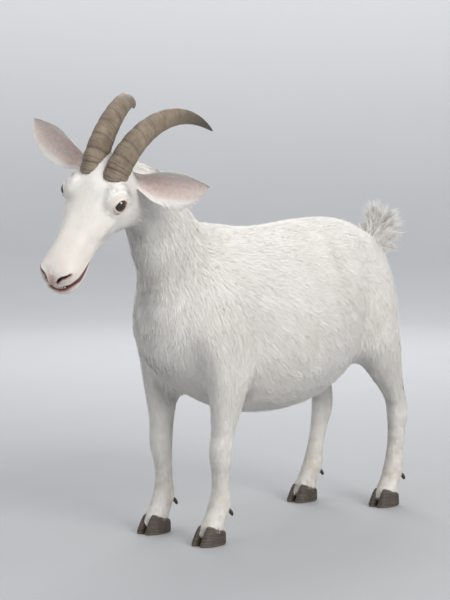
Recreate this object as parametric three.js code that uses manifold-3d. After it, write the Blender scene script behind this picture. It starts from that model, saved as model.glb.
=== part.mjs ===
// A stocky, dwarf-type domestic goat at life size. It stands on four flat hooves with its right hind
// foot a short step forward, its ears out sideways, the left one a little lower, its horns swept back,
// its tail up, and its head turned and tilted a little to its own left.
// Millimetres, +Z up. The floor is z = 0, the goat faces -Y, and its left side is +X.

import * as THREE from "three";
import { mergeVertices } from "three/addons/utils/BufferGeometryUtils.js";
import Module from "manifold-3d";

const wasm = await Module();
wasm.setup();

// ---- Driving sizes ------------------------------------------------------------------------------

const WITHERS = 540; // floor to the top of the shoulders
const HEAD_LENGTH = 0.448 * WITHERS; // poll to the front of the muzzle
const B = WITHERS / 100; // body tables are in hundredths of the withers height
const H = HEAD_LENGTH / 100; // head tables are in hundredths of the head length
const GAP = 0.3; // clearance between parts that meet face to face

const HEAD_TURN = 20; // degrees to the goat's left
const HEAD_PITCH = 47; // degrees that the line of the face drops below level
const HEAD_TILT = 15; // degrees, left ear lower
const POLL = { side: 3.4, forward: 72.5, height: 123.5 };

const EYE = { side: 18.2, forward: 34.5, height: -10, radius: 5.7 }; // in the head's units
const HORN_LENGTH = 290;
const EAR_DROOP = { left: 20, right: 0 }; // degrees that each ear hangs below its resting line
const STEP = { foreleg_left: 1.5, foreleg_right: -1, hindleg_left: -3, hindleg_right: 9 };

// ---- Colours ------------------------------------------------------------------------------------

const finish = (color, roughness) => new THREE.MeshStandardMaterial({ color, roughness, metalness: 0 });
const COAT = finish(0xe9e4da, 0.9);
const KERATIN = finish(0x6f6455, 0.6);
const HOOF = finish(0x4a423a, 0.65);
const EYEBALL = finish(0x2a1c10, 0.15);

// ---- Shape tools --------------------------------------------------------------------------------

const X = new THREE.Vector3(1, 0, 0);
const Y = new THREE.Vector3(0, 1, 0);
const Z = new THREE.Vector3(0, 0, 1);
const radians = THREE.MathUtils.degToRad;

// A point from distances to the left, forward and up, which is x, -y and z.
const place = (side, forward, height, unit = 1) =>
  new THREE.Vector3(side, -forward, height).multiplyScalar(unit);

// Smooth values between the rows of a table. A row starts with its station, then holds its values.
function track(rows) {
  const width = rows[0].length - 1;
  const smooth = new THREE.CubicInterpolant(
    rows.map((row) => row[0]),
    rows.flatMap((row) => row.slice(1)),
    width,
    new Float64Array(width),
  );
  return (station) => Array.from(smooth.evaluate(station));
}

// Stations from the first row of a table to the last, closer together at both ends.
function stations(rows, count, ease = 0.6) {
  const first = rows[0][0];
  const span = rows.at(-1)[0] - first;
  return Array.from({ length: count }, (_, i) => {
    const even = i / (count - 1);
    const eased = (1 - Math.cos(Math.PI * even)) / 2;
    return first + span * (even + (eased - even) * ease);
  });
}

// A closed surface over rings of points that run anticlockwise about the way they are stacked.
// Each quad is split the same way on a ring's two halves, so that thin walls keep their thickness.
function loft(rings) {
  const around = rings[0].length;
  const points = rings.flat();
  const faces = [];
  for (let i = 0; i < rings.length - 1; i++) {
    for (let j = 0; j < around; j++) {
      const a = i * around + j;
      const b = i * around + ((j + 1) % around);
      const c = b + around;
      const d = a + around;
      faces.push(...(j < around / 2 ? [a, b, c, a, c, d] : [a, b, d, b, c, d]));
    }
  }
  for (const [ring, start, turn] of [
    [rings[0], 0, 1],
    [rings.at(-1), (rings.length - 1) * around, 0],
  ]) {
    const hub = points.length;
    points.push(ring.reduce((sum, p) => sum.add(p), new THREE.Vector3()).divideScalar(around));
    for (let j = 0; j < around; j++) {
      const edge = [start + j, start + ((j + 1) % around)];
      faces.push(hub, edge[turn], edge[1 - turn]);
    }
  }
  return new THREE.BufferGeometry().setFromPoints(points).setIndex(faces);
}

// A rounded ring. Its roundness is 2 for an ellipse and more for a squarer side.
function ring(count, centre, side, up, [half, above, below, roundAbove = 2, roundBelow = 2]) {
  return Array.from({ length: count }, (_, i) => {
    const angle = (2 * Math.PI * i) / count;
    const [c, s] = [Math.cos(angle), Math.sin(angle)];
    const power = 2 / (s > 0 ? roundAbove : roundBelow);
    const bent = (v) => Math.sign(v) * Math.abs(v) ** power;
    return centre
      .clone()
      .addScaledVector(side, half * bent(c))
      .addScaledVector(up, (s > 0 ? above : below) * bent(s));
  });
}

// A tube along a curve whose rings stay square to it, with their upper side turned towards lift.
function sweep(curve, lift, count, section) {
  return loft(
    Array.from({ length: count }, (_, i) => {
      const t = i / (count - 1);
      const along = curve.getTangentAt(t);
      const up = lift.clone().addScaledVector(along, -lift.dot(along)).normalize();
      return section(t, curve.getPointAt(t), up.clone().cross(along), up);
    }),
  );
}

const curveThrough = (points) => new THREE.CatmullRomCurve3(points, false, "centripetal");

// three.js geometry to a manifold-3d solid and back. A mirrored shape has its faces turned again.
function solid(geometry, matrix = new THREE.Matrix4()) {
  const bare = new THREE.BufferGeometry();
  bare.setAttribute("position", geometry.getAttribute("position").clone());
  bare.setIndex(geometry.index);
  bare.applyMatrix4(matrix);
  const merged = mergeVertices(bare, 1e-4);
  const corners = new Uint32Array(merged.index.array);
  if (matrix.determinant() < 0) corners.reverse();
  const points = new Float32Array(merged.attributes.position.array);
  return new wasm.Manifold(new wasm.Mesh({ numProp: 3, vertProperties: points, triVerts: corners }));
}

const largest = (body) => body.decompose().reduce((a, b) => (b.volume() > a.volume() ? b : a));

const together = (solids) => solids.reduce((a, b) => a.add(b));

function shapeOf(body) {
  const mesh = largest(body).getMesh();
  return new THREE.BufferGeometry()
    .setAttribute("position", new THREE.BufferAttribute(mesh.vertProperties, mesh.numProp))
    .setIndex(new THREE.BufferAttribute(mesh.triVerts, 1));
}

function piece(name, body, material) {
  const geometry = shapeOf(body);
  geometry.computeVertexNormals();
  const mesh = new THREE.Mesh(geometry, material);
  mesh.name = name;
  return mesh;
}

// An egg-shaped swelling of flesh, or a ball where its three half sizes are alike.
function egg(centre, halfSizes, grow = 0, around = 12) {
  const size = new THREE.Vector3(...halfSizes).addScalar(grow);
  const matrix = new THREE.Matrix4().compose(centre, new THREE.Quaternion(), size);
  return solid(new THREE.SphereGeometry(1, around, Math.round(around * 0.7)), matrix);
}

const SIDES = [
  ["left", 1],
  ["right", -1],
];

// Left-hand shapes are the ones that are drawn. This carries one to the other side for sign = -1.
const toSide = (sign) => new THREE.Matrix4().makeScale(sign, 1, 1);

// ---- Trunk: one barrel from the pin bones to the breast -----------------------------------------

// forward, top, widest level, bottom, half width, roundness above and below
const TRUNK = [
  [-57, 83, 79.5, 76, 4, 2, 2],
  [-55, 90.5, 79, 68, 9, 2, 2],
  [-50.5, 96, 77, 60, 13.5, 2, 2],
  [-43, 99.5, 75, 52, 16.5, 2, 2],
  [-32, 101.5, 71, 45, 19.5, 1.95, 2.1],
  [-18, 101.5, 67, 39, 22.5, 1.9, 2.2],
  [-2, 100, 65, 36.5, 24, 1.9, 2.2],
  [12, 99.5, 65, 37, 23.5, 1.85, 2.2],
  [24, 100.8, 67, 39.5, 21, 1.8, 2.1],
  [33, 101.5, 70, 43, 18.5, 1.75, 2],
  [42, 98, 71, 47.5, 16, 1.85, 2],
  [49, 91.5, 72, 52.5, 13, 2, 2],
  [54.5, 84, 72, 59, 8.5, 2, 2],
  [57, 78, 72, 66.5, 4, 2, 2],
];
const TRUNK_END = 56; // forward and back, where its two ends grow as much as its sides do

function trunk(grow = 0) {
  const at = track(TRUNK);
  const rings = stations(TRUNK, 25).map((forward) => {
    const [top, level, bottom, half, roundAbove, roundBelow] = at(forward);
    const reach = grow * Math.sign(forward) * Math.min(1, Math.abs(forward / TRUNK_END) ** 8);
    const size = [half * B + grow, (top - level) * B + grow, (level - bottom) * B + grow];
    const centre = place(0, forward * B + reach, level * B);
    return ring(26, centre, X, Z, [...size, roundAbove, roundBelow]);
  });
  return solid(loft(rings));
}

// ---- Neck ---------------------------------------------------------------------------------------

const NECK_LINE = curveThrough([
  place(0, 28, 74, B),
  place(0, 40, 86, B),
  place(0.6, 49.5, 98, B),
  place(1.8, 56.5, 107.5, B),
  place(2.6, 62, 113.5, B),
  place(3, 67, 116.5, B),
]);

// share of its length, half width, depth above and below its line
const NECK = [
  [0, 13, 19, 20],
  [0.3, 12.4, 16.5, 18],
  [0.55, 10.6, 12.6, 13.6],
  [0.8, 9, 9.6, 10.4],
  [1, 7.6, 6.4, 7.5],
];

function neck(grow = 0) {
  const at = track(NECK);
  const sizes = (t) => at(t).map((size) => size * B + grow);
  const section = (t, centre, side, up) => ring(22, centre, side, up, sizes(t));
  return solid(sweep(NECK_LINE, place(0, -0.7, 0.7), 10, section));
}

// ---- Head, in its own frame: the poll is the origin, the nose points along -Y -------------------

// forward, top, widest level, bottom, half width, roundness above and below
const SKULL = [
  [-7, -13, -20, -28, 6, 2, 2],
  [-4, -5.5, -20, -38, 14, 2, 2],
  [3, 0, -20, -45, 19, 2, 2],
  [12, 3.6, -19, -49, 21.5, 2.1, 2],
  [24, 4, -17, -50, 22, 2.2, 1.9],
  [34, 1.5, -17, -47.5, 21.3, 2.4, 1.8],
  [45, -3.5, -19, -45.5, 18.4, 2.5, 1.8],
  [58, -8, -22.5, -43, 15.4, 2.5, 1.9],
  [72, -11, -25, -42.2, 14, 2.5, 2],
  [84, -13, -26, -43.2, 14.2, 2.4, 2.2],
  [92, -15.5, -26.5, -43.2, 13.2, 2.3, 2.3],
  [97.5, -19, -27, -40.8, 9.6, 2.1, 2.1],
  [99.8, -23.5, -27, -31, 4.6, 2, 2],
];

function skull(grow = 0) {
  const at = track(SKULL);
  const rings = stations(SKULL, 26, 0.35).map((forward) => {
    const [top, level, bottom, half, roundAbove, roundBelow] = at(forward);
    const size = [half * H + grow, (top - level) * H + grow, (level - bottom) * H + grow];
    const centre = place(0, forward, level, H);
    return ring(24, centre, X, Z, [...size, roundAbove, roundBelow]);
  });
  return solid(loft(rings));
}

// The flesh that swells from the skull on each side: its middle, then its half sizes.
const SWELLINGS = {
  cheek: { at: [13.6, 24, -31], size: [8.2, 16, 16.5] },
  orbit: { at: [14.2, 31, -8.4], size: [9.4, 13, 9.4] },
  hornRoot: { at: [7.4, 12, 0.4], size: [7, 8.4, 4.6] },
  nostrilWing: { at: [7.8, 89.5, -21.5], size: [5, 8.4, 4.6] },
};

// The mouth is a little open. The upper lip runs round the muzzle from one corner to the other, and the
// lower lip hangs from the same corners.
const MOUTH_HALF = [
  [10.5, 68, -30.8],
  [13.2, 76, -29.6],
  [13.5, 85, -29],
  [10.2, 94.5, -29.4],
];
const MOUTH_FRONT = [0, 99, -29.8];
const MOUTH_CORNER = MOUTH_HALF[0][1];
const JAW = { drop: 7.2, back: 2.4 }; // of the front of the lower lip, from where it would be shut
const LIP = { apart: 2.3, high: 2.5, proud: 1.5 };

// How far the jaw has dropped at a distance forward, from 0 at the corner of the mouth to its front.
const jawShare = (forward) => (forward - MOUTH_CORNER) / (MOUTH_FRONT[1] - MOUTH_CORNER);

// The edge of the upper lip, or of the lower one where it hangs by the whole drop of the jaw.
function lipLine(hang) {
  const knot = (sign, [side, forward, height]) => {
    const share = hang * jawShare(forward);
    return place(sign * side, forward - JAW.back * share, height - JAW.drop * share, H);
  };
  const left = MOUTH_HALF.map((point) => knot(1, point));
  const right = MOUTH_HALF.map((point) => knot(-1, point)).reverse();
  return curveThrough([...left, knot(1, MOUTH_FRONT), ...right]);
}

function lip(hang, grow) {
  const offset = hang ? -LIP.apart : LIP.apart;
  const section = (t, centre, side, up) => {
    const full = 0.35 + 0.65 * Math.sin(Math.PI * t) ** 0.6;
    const middle = centre.clone().addScaledVector(Z, offset * H);
    const high = LIP.high * full * H + grow;
    return ring(8, middle, side, up, [LIP.proud * full * H + grow, high, high]);
  };
  return solid(sweep(lipLine(hang), Z, 15, section));
}

function flesh(grow = 0) {
  const swellings = Object.values(SWELLINGS).flatMap(({ at: [side, ...rest], size }) =>
    SIDES.map(([, sign]) => egg(place(sign * side, ...rest, H), size.map((half) => half * H), grow)),
  );
  return together([skull(grow), ...swellings, lip(0, grow), lip(1, grow)]);
}

const eyeCentre = (sign) => place(sign * EYE.side, EYE.forward, EYE.height, H);

function eyeBall(sign, grow = 0, around = 16) {
  const radius = EYE.radius * H;
  return egg(eyeCentre(sign), [radius, radius, radius], grow, around);
}

// The lids are a thin shell over the eyeball with an almond opening, lower at its front corner.
const LID = { thick: 0.9 * H, half: 5.3 * H, above: 4.6 * H, below: 3.6 * H, slope: 24 };
const EYE_AIM = place(0.9, 0.36, 0.14).normalize();

function eyeOpening() {
  const { half, above, below } = LID;
  const shape = new THREE.Shape();
  shape.moveTo(-half, 0);
  shape.bezierCurveTo(-half * 0.6, -below * 1.3, half * 0.6, -below * 1.3, half, 0);
  shape.bezierCurveTo(half * 0.6, above * 1.3, -half * 0.6, above * 1.3, -half, 0);
  const cut = new THREE.ExtrudeGeometry(shape, { depth: 30, bevelEnabled: false, curveSegments: 6 });
  const back = place(0, -Math.cos(radians(LID.slope)), -Math.sin(radians(LID.slope)));
  back.addScaledVector(EYE_AIM, -back.dot(EYE_AIM)).normalize();
  const frame = new THREE.Matrix4().makeBasis(back, EYE_AIM.clone().cross(back), EYE_AIM);
  return new THREE.BufferGeometry()
    .setAttribute("position", cut.getAttribute("position"))
    .applyMatrix4(frame.setPosition(eyeCentre(1)));
}

const NOSTRIL_LINE = curveThrough([
  place(3.8, 98.3, -24.8, H),
  place(6.2, 97.8, -22.4, H),
  place(9.6, 95.8, -20.6, H),
  place(11.8, 92, -20.8, H),
]);
const NOSTRIL_DEPTH = 2 * H;

function nostril() {
  const section = (t, centre, side, up) => {
    const open = (0.7 + 1.1 * Math.sin(Math.PI * Math.min(1, t * 1.15)) ** 2) * H;
    return ring(8, centre, side, up, [open, NOSTRIL_DEPTH, NOSTRIL_DEPTH]);
  };
  return sweep(NOSTRIL_LINE, place(0.35, 1, 0.1), 8, section);
}

// The opening of the mouth: forward, height of its middle, half its height. It runs right across.
const MOUTH_GAP = [
  [67, -30.8, 0.2],
  [76, -30.5, 0.95],
  [85, -31, 2],
  [94, -32.35, 3.05],
  [104, -34.6, 4.3],
];
const MOUTH_ACROSS = { half: 20, roundness: 3.5 };

function mouthGap() {
  const { half, roundness } = MOUTH_ACROSS;
  const rings = MOUTH_GAP.map(([forward, middle, open]) => {
    const size = [half * H, open * H, open * H, roundness, roundness];
    return ring(16, place(0, forward, middle, H), X, Z, size);
  });
  return solid(loft(rings));
}

// The tongue lies on the lower jaw, and is rounded at its tip.
const TONGUE_LINE = curveThrough([
  place(0, 66, -31.3, H),
  place(0, 78, -32.1, H),
  place(0, 87, -33.8, H),
  place(0, 92.6, -35.2, H),
]);
const TONGUE = { half: 5.8, high: 2 };

function tongue() {
  const section = (t, centre, side, up) => {
    const full = Math.sqrt(1 - 0.94 * t ** 5);
    const high = TONGUE.high * full * H;
    return ring(8, centre, side, up, [TONGUE.half * full * H, high, high]);
  };
  return solid(sweep(TONGUE_LINE, Z, 7, section));
}

// Eight lower front teeth stand in an arch behind the lip. A goat has none above them.
const TEETH = { count: 8, apart: 1.25, arch: 0.09, front: 94.9, root: -37.2, top: -33.6 };
const TOOTH = { half: 0.58, thick: 0.42, lean: 0.5 };

function teeth() {
  return Array.from({ length: TEETH.count }, (_, i) => {
    const side = (i - (TEETH.count - 1) / 2) * TEETH.apart;
    const forward = TEETH.front - TEETH.arch * side ** 2;
    const smaller = 1 - 0.05 * Math.abs(side);
    const rings = [
      [0, 0, 0.8],
      [(TEETH.top - TEETH.root) * smaller, TOOTH.lean, 1],
    ].map(([rise, lean, spread]) => {
      const size = [TOOTH.half * smaller * spread * H, TOOTH.thick * H, TOOTH.thick * H];
      return ring(6, place(side, forward + lean, TEETH.root + rise, H), X, Y, size);
    });
    return solid(loft(rings));
  });
}

function head() {
  let body = flesh();
  for (const [, sign] of SIDES) {
    body = body.add(eyeBall(sign, LID.thick, 18));
    body = body.subtract(eyeBall(sign, GAP));
    body = body.subtract(solid(eyeOpening(), toSide(sign)));
    body = body.subtract(solid(nostril(), toSide(sign)));
  }
  return together([body.subtract(mouthGap()), tongue(), ...teeth()]);
}

// ---- Horns: ridged, keeled in front, curving back from the forehead -----------------------------

const HORN = { side: 8.4, forward: 19.6, height: -6, root: 10.8, ridges: 11 };
const HORN_BEND = { rise: 44, fall: -72, ease: 0.72, apart: 0.08, spread: 0.24 };

// Its heading turns from rise at the root to fall at the tip, in degrees from straight back, while it
// leans further outwards.
function hornLine() {
  const steps = 24;
  const point = place(HORN.side, HORN.forward, HORN.height, H);
  const points = [point.clone()];
  for (let i = 0; i < steps; i++) {
    const t = (i + 0.5) / steps;
    const heading = radians(THREE.MathUtils.lerp(HORN_BEND.rise, HORN_BEND.fall, t ** HORN_BEND.ease));
    const outwards = HORN_BEND.apart + HORN_BEND.spread * t;
    const step = place(outwards, -Math.cos(heading), Math.sin(heading)).normalize();
    point.addScaledVector(step, HORN_LENGTH / steps);
    points.push(point.clone());
  }
  return curveThrough(points);
}

function horn() {
  const section = (t, centre, side, up) => {
    const taper = (1 - t ** 1.4) ** 0.8 + 0.05;
    const ridge = 1 + 0.055 * Math.sin(t ** 0.8 * 2 * Math.PI * HORN.ridges) * (1 - t);
    const deep = HORN.root * taper * ridge * H;
    return ring(10, centre, side, up, [deep * 0.72, deep * 1.06, deep * 0.94, 1.7, 2.2]);
  };
  return sweep(hornLine(), place(0, 0.3, 1), 32, section);
}

// ---- Ears: a cupped leaf that opens forwards ----------------------------------------------------

const EAR_LINE = curveThrough([
  place(14.5, 8, -12.5, H),
  place(24, 8, -10.5, H),
  place(38, 6.5, -7, H),
  place(52, 2, -3.5, H),
  place(65, -4.5, 2, H),
]);

// share of its length, half width, depth of the cup, thickness
const EAR = [
  [0, 5.2, 4.5, 4.5],
  [0.16, 6.8, 7.5, 3.2],
  [0.34, 11.2, 7.6, 2.2],
  [0.53, 13, 5.8, 1.9],
  [0.72, 11, 4, 1.7],
  [0.88, 6.5, 2.2, 1.5],
  [0.97, 2.5, 0.8, 1.3],
  [1, 0.9, 0.3, 0.9],
];

function ear() {
  const at = track(EAR);
  const around = 16;
  const section = (t, centre, side, up) => {
    const [half, cup, thick] = at(t).map((size) => size * H);
    return Array.from({ length: around }, (_, i) => {
      const angle = (2 * Math.PI * i) / around;
      const depth = cup * (Math.sin(angle) ** 2 - 0.5) + (thick / 2) * Math.sin(angle);
      return centre
        .clone()
        .addScaledVector(side, half * Math.cos(angle))
        .addScaledVector(up, depth);
    });
  };
  return sweep(EAR_LINE, place(0.1, -0.86, -0.5), 14, section);
}

// A left-hand ear turned down about its root.
function drooped(degrees) {
  const root = EAR_LINE.getPointAt(0);
  return new THREE.Matrix4()
    .makeTranslation(root)
    .multiply(new THREE.Matrix4().makeRotationY(radians(degrees)))
    .multiply(new THREE.Matrix4().makeTranslation(root.negate()));
}

// ---- Legs ---------------------------------------------------------------------------------------

// height, forward, side, half depth to the front, to the back, half width
const FORELEG = [
  [5.2, 38.8, 13.2, 4.1, 3.8, 3.8],
  [8.2, 37.2, 13.2, 3.4, 3.5, 3.3],
  [11.8, 35.6, 13.3, 3.9, 4.5, 3.9],
  [15, 35.3, 13.4, 3.2, 3.6, 3.2],
  [19.5, 35.3, 13.5, 3.1, 3.4, 3],
  [24.5, 35.4, 13.7, 3.7, 3.6, 3.5],
  [28.5, 35.9, 13.9, 4.7, 4.2, 4.3],
  [33, 35.4, 14, 4.3, 4.4, 4],
  [39, 34.8, 14.3, 5.3, 5.4, 4.6],
  [46, 34, 14.6, 7.2, 7.5, 5.3],
  [54, 33.6, 14.6, 9.6, 10.8, 6],
  [64, 34.6, 13.6, 11.8, 12.2, 6.6],
  [76, 35, 11.8, 11.8, 11.4, 6.8],
  [87, 32.6, 9, 8.5, 9.5, 5.6],
  [93, 31, 7.5, 5, 6, 4],
];

const HINDLEG = [
  [5.2, -46.6, 13.5, 4.1, 3.8, 3.8],
  [8.2, -48.4, 13.5, 3.5, 3.5, 3.3],
  [12.2, -50.4, 13.5, 4, 4.6, 3.9],
  [16, -51, 13.5, 3.3, 3.7, 3.2],
  [21, -51.8, 13.6, 3.2, 3.6, 3.1],
  [27, -52.8, 13.7, 3.7, 4, 3.4],
  [32, -53.4, 13.8, 4.8, 4.7, 4],
  [36.5, -52.4, 13.9, 4.6, 5.6, 3.7],
  [42, -49, 14.1, 5.8, 6.6, 4.4],
  [49, -44.5, 14.6, 9, 9.2, 6],
  [57, -41, 14.6, 12.6, 12, 7.4],
  [66, -39.6, 13.4, 14.4, 13.4, 8.2],
  [77, -40.6, 11.8, 13.6, 13, 8],
  [87, -41.5, 9.5, 10, 11, 6.6],
  [95, -42, 7.5, 6, 7, 4.5],
];

const LIMBS = [
  ["foreleg", FORELEG],
  ["hindleg", HINDLEG],
];

const CORONET_SLOPE = 0.32; // the top of a hoof drops towards the heel
const PASTERN_TOP = 11; // height at which the rings are level again
const STEP_TOP = 72; // height at which a leg's step has died away

function leg(rows, sign, step, grow = 0) {
  const at = track(rows);
  const coronet = rows[0][0];
  const rings = stations(rows, 23, 0.3).map((height) => {
    const [forward, side, fore, aft, half] = at(height);
    const moved = forward + step * (1 - THREE.MathUtils.smoothstep(height, coronet, STEP_TOP));
    const slope = CORONET_SLOPE * (1 - THREE.MathUtils.smoothstep(height, coronet, PASTERN_TOP));
    const size = [half * B + grow, aft * B + grow, fore * B + grow, 2.15, 2.15];
    const centre = place(sign * side, moved, height, B);
    return ring(14, centre, X, Y, size).map((p) => {
      p.z -= slope * (p.y - centre.y);
      return p;
    });
  });
  return solid(loft(rings));
}

// ---- Hooves: two claws on each foot, flat below, and two dewclaws behind each fetlock -----------

const CLAW = { half: 5.4, outer: 2.9, inner: 1.2, cleft: 0.34, lean: 1.9 };

// height as a share of the wall, spread of the outline there
const CLAW_WALL = [
  [0, 0.95],
  [0.1, 1],
  [0.5, 0.91],
  [1, 0.74],
];

function claw(rows, sign, step, outward) {
  const [height, forward, side] = rows[0];
  const coronet = height * B - GAP;
  const foot = place(sign * side, forward + step, 0, B);
  const rings = CLAW_WALL.map(([level, spread]) => {
    const half = CLAW.half * B * spread;
    const shift = CLAW.lean * B * (1 - level);
    return Array.from({ length: 14 }, (_, i) => {
      const angle = (2 * Math.PI * i) / 14;
      const ahead = -Math.sin(angle);
      const lateral = Math.cos(angle) * outward;
      const wide = (lateral > 0 ? CLAW.outer : CLAW.inner) * B * spread;
      const toe = ahead > 0 ? 1 - 0.25 * ahead ** 2 : 1;
      const across = Math.sign(lateral) * Math.abs(lateral) ** 0.8 * wide * toe;
      const x = outward * ((CLAW.cleft + CLAW.inner) * B + across);
      const y = -half * Math.sign(ahead) * Math.abs(ahead) ** 0.9 - shift;
      return new THREE.Vector3(x, y, level * (coronet - CORONET_SLOPE * y)).add(foot);
    });
  });
  return solid(loft(rings));
}

const DEWCLAW = { root: 10.9, tip: 8.3, apart: 1.6, half: 1.35, thick: 1 };

function dewclaw(rows, sign, step, outward) {
  const [forward, side, , aft] = track(rows)(DEWCLAW.root);
  const x = sign * side + outward * DEWCLAW.apart;
  const root = place(x, forward + step - aft * 0.55, DEWCLAW.root, B);
  const tip = place(x + outward * 0.3, forward + step - aft - 0.7, DEWCLAW.tip, B);
  const line = curveThrough([root, root.clone().lerp(tip, 0.5), tip]);
  const sizes = (t) => [DEWCLAW.half, DEWCLAW.thick, DEWCLAW.thick].map((s) => s * B * (1 - 0.45 * t ** 2));
  const section = (t, centre, across, up) => ring(8, centre, across, up, sizes(t));
  return solid(sweep(line, X, 4, section));
}

// ---- Tail: short and raised, with its long hair as overlapping tapered locks --------------------

const TAIL_LINE = curveThrough([
  place(0, -50, 86, B),
  place(0, -56, 89.5, B),
  place(0, -60.5, 94, B),
  place(0, -63, 99, B),
]);
const TAIL_CORE = { root: 4, tip: 1.8, flat: 0.75 };

// share of the tail's length, number of locks round it, their length, how far they fan out
const LOCK_ROWS = [
  [0.3, 7, 12, 130],
  [0.66, 6, 10.5, 120],
  [0.95, 4, 9, 90],
];
const LOCK = { half: 2.5, thick: 0.6, spring: 0.42, bend: 0.74 };

// A flat, tapered lock of hair that springs outwards and bends over along the tail.
function lock(root, out, along, length, half) {
  const spring = out.clone().lerp(along, LOCK.spring).normalize();
  const bend = out.clone().lerp(along, LOCK.bend).normalize();
  const elbow = root.clone().addScaledVector(spring, length * 0.45);
  const line = curveThrough([
    root,
    elbow,
    elbow.clone().addScaledVector(bend, length * 0.35),
    elbow.clone().addScaledVector(bend, length * 0.5).addScaledVector(along, length * 0.2),
  ]);
  const section = (t, centre, side, up) => {
    const taper = Math.min(1, 0.55 + t * 1.3) * (1 - t ** 2.6) + 0.07;
    const thick = LOCK.thick * B * taper;
    return ring(4, centre, side, up, [half * B * taper, thick, thick]);
  };
  return solid(sweep(line, out, 5, section));
}

function tail() {
  const core = sweep(TAIL_LINE, Z, 8, (t, centre, side, up) => {
    const half = THREE.MathUtils.lerp(TAIL_CORE.root, TAIL_CORE.tip, t) * B;
    return ring(8, centre, side, up, [half, half * TAIL_CORE.flat, half * TAIL_CORE.flat]);
  });
  const locks = LOCK_ROWS.flatMap(([t, count, length, fan], row) => {
    const centre = TAIL_LINE.getPointAt(t);
    const along = TAIL_LINE.getTangentAt(t);
    const up = Z.clone().addScaledVector(along, -along.z).normalize();
    const side = up.clone().cross(along);
    return Array.from({ length: count }, (_, k) => {
      const angle = radians(fan * ((2 * k) / (count - 1) - 1));
      const out = up.clone().multiplyScalar(Math.cos(angle)).addScaledVector(side, Math.sin(angle));
      const vary = 1 + 0.13 * Math.sin(5.1 * k + 2.3 * row);
      return lock(centre, out, along, length * vary * B, LOCK.half * vary);
    });
  });
  return together([solid(core), ...locks]);
}

// ---- The whole goat -----------------------------------------------------------------------------

const goat = new THREE.Group();
const headGroup = new THREE.Group();
headGroup.position.copy(place(POLL.side, POLL.forward, POLL.height, B));
headGroup.rotation.set(radians(HEAD_PITCH), radians(HEAD_TILT), radians(HEAD_TURN), "ZYX");
headGroup.updateMatrix();
goat.add(headGroup);

const trunkRoom = trunk(GAP);
const neckRoom = neck(GAP);
const headRoom = flesh(GAP);
const headRoomOnBody = solid(shapeOf(headRoom), headGroup.matrix);
const neckRoomAtHead = solid(shapeOf(neckRoom), headGroup.matrix.clone().invert());

goat.add(piece("trunk", trunk(), COAT));
goat.add(piece("neck", neck().subtract(trunkRoom).subtract(headRoomOnBody), COAT));
goat.add(piece("tail", tail().subtract(trunkRoom), COAT));
headGroup.add(piece("head", head(), COAT));

for (const [name, sign] of SIDES) {
  const hornBody = solid(horn(), toSide(sign)).subtract(headRoom);
  const earPlace = toSide(sign).multiply(drooped(EAR_DROOP[name]));
  const earBody = solid(ear(), earPlace).subtract(headRoom).subtract(neckRoomAtHead);
  headGroup.add(piece(`eye_${name}`, eyeBall(sign), EYEBALL));
  headGroup.add(piece(`horn_${name}`, hornBody, KERATIN));
  headGroup.add(piece(`ear_${name}`, earBody, COAT));
  for (const [kind, rows] of LIMBS) {
    const step = STEP[`${kind}_${name}`];
    const limb = leg(rows, sign, step).subtract(trunkRoom).subtract(neckRoom);
    const limbRoom = leg(rows, sign, step, GAP);
    goat.add(piece(`${kind}_${name}`, limb, COAT));
    for (const [where, outward] of [
      ["outer", sign],
      ["inner", -sign],
    ]) {
      const spur = dewclaw(rows, sign, step, outward).subtract(limbRoom);
      goat.add(piece(`claw_${kind}_${name}_${where}`, claw(rows, sign, step, outward), HOOF));
      goat.add(piece(`dewclaw_${kind}_${name}_${where}`, spur, HOOF));
    }
  }
}

// The origin is on the floor, in the middle of the goat's outer box.
const middle = new THREE.Box3().setFromObject(goat, true).getCenter(new THREE.Vector3());
goat.position.set(-middle.x, -middle.y, 0);

export default goat;
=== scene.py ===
import math

import bmesh
import bpy
import numpy as np
from mathutils import Matrix, Vector
from mathutils.bvhtree import BVHTree


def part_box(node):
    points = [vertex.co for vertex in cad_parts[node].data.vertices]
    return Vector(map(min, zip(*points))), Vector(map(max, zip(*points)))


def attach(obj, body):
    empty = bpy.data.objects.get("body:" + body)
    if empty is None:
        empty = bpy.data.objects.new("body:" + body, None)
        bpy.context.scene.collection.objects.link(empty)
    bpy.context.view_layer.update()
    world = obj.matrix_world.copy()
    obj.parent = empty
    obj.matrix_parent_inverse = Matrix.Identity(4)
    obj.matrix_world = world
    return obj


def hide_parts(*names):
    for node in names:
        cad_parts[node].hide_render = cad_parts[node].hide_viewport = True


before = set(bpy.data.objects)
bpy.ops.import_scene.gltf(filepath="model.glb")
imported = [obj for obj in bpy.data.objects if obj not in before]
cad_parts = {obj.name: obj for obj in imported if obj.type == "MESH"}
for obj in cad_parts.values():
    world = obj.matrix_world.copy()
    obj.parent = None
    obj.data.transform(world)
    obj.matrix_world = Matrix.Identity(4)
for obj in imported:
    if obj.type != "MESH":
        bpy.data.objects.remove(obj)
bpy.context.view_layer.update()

# ---- Skin ---------------------------------------------------------------------------------------
# The hide of the goat: one unbroken surface over trunk, neck, head and legs, tight over the joints
# and the shoulder blades and slack at the flanks. The ears and the tail's root are grown into it, and
# it lies inside the coat by the coat's own depth.

SIDES = {"left": 1, "right": -1}
LEGS = [f"{kind}_{side}" for kind in ("foreleg", "hindleg") for side in SIDES]
FLESH = ["trunk", "neck", "head", *LEGS]
BARREL = 114  # length of the trunk, in hundredths of the height at the withers
SKIN_GRAIN = 0.004  # width of the skin's faces, before the head's are made finer
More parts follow.
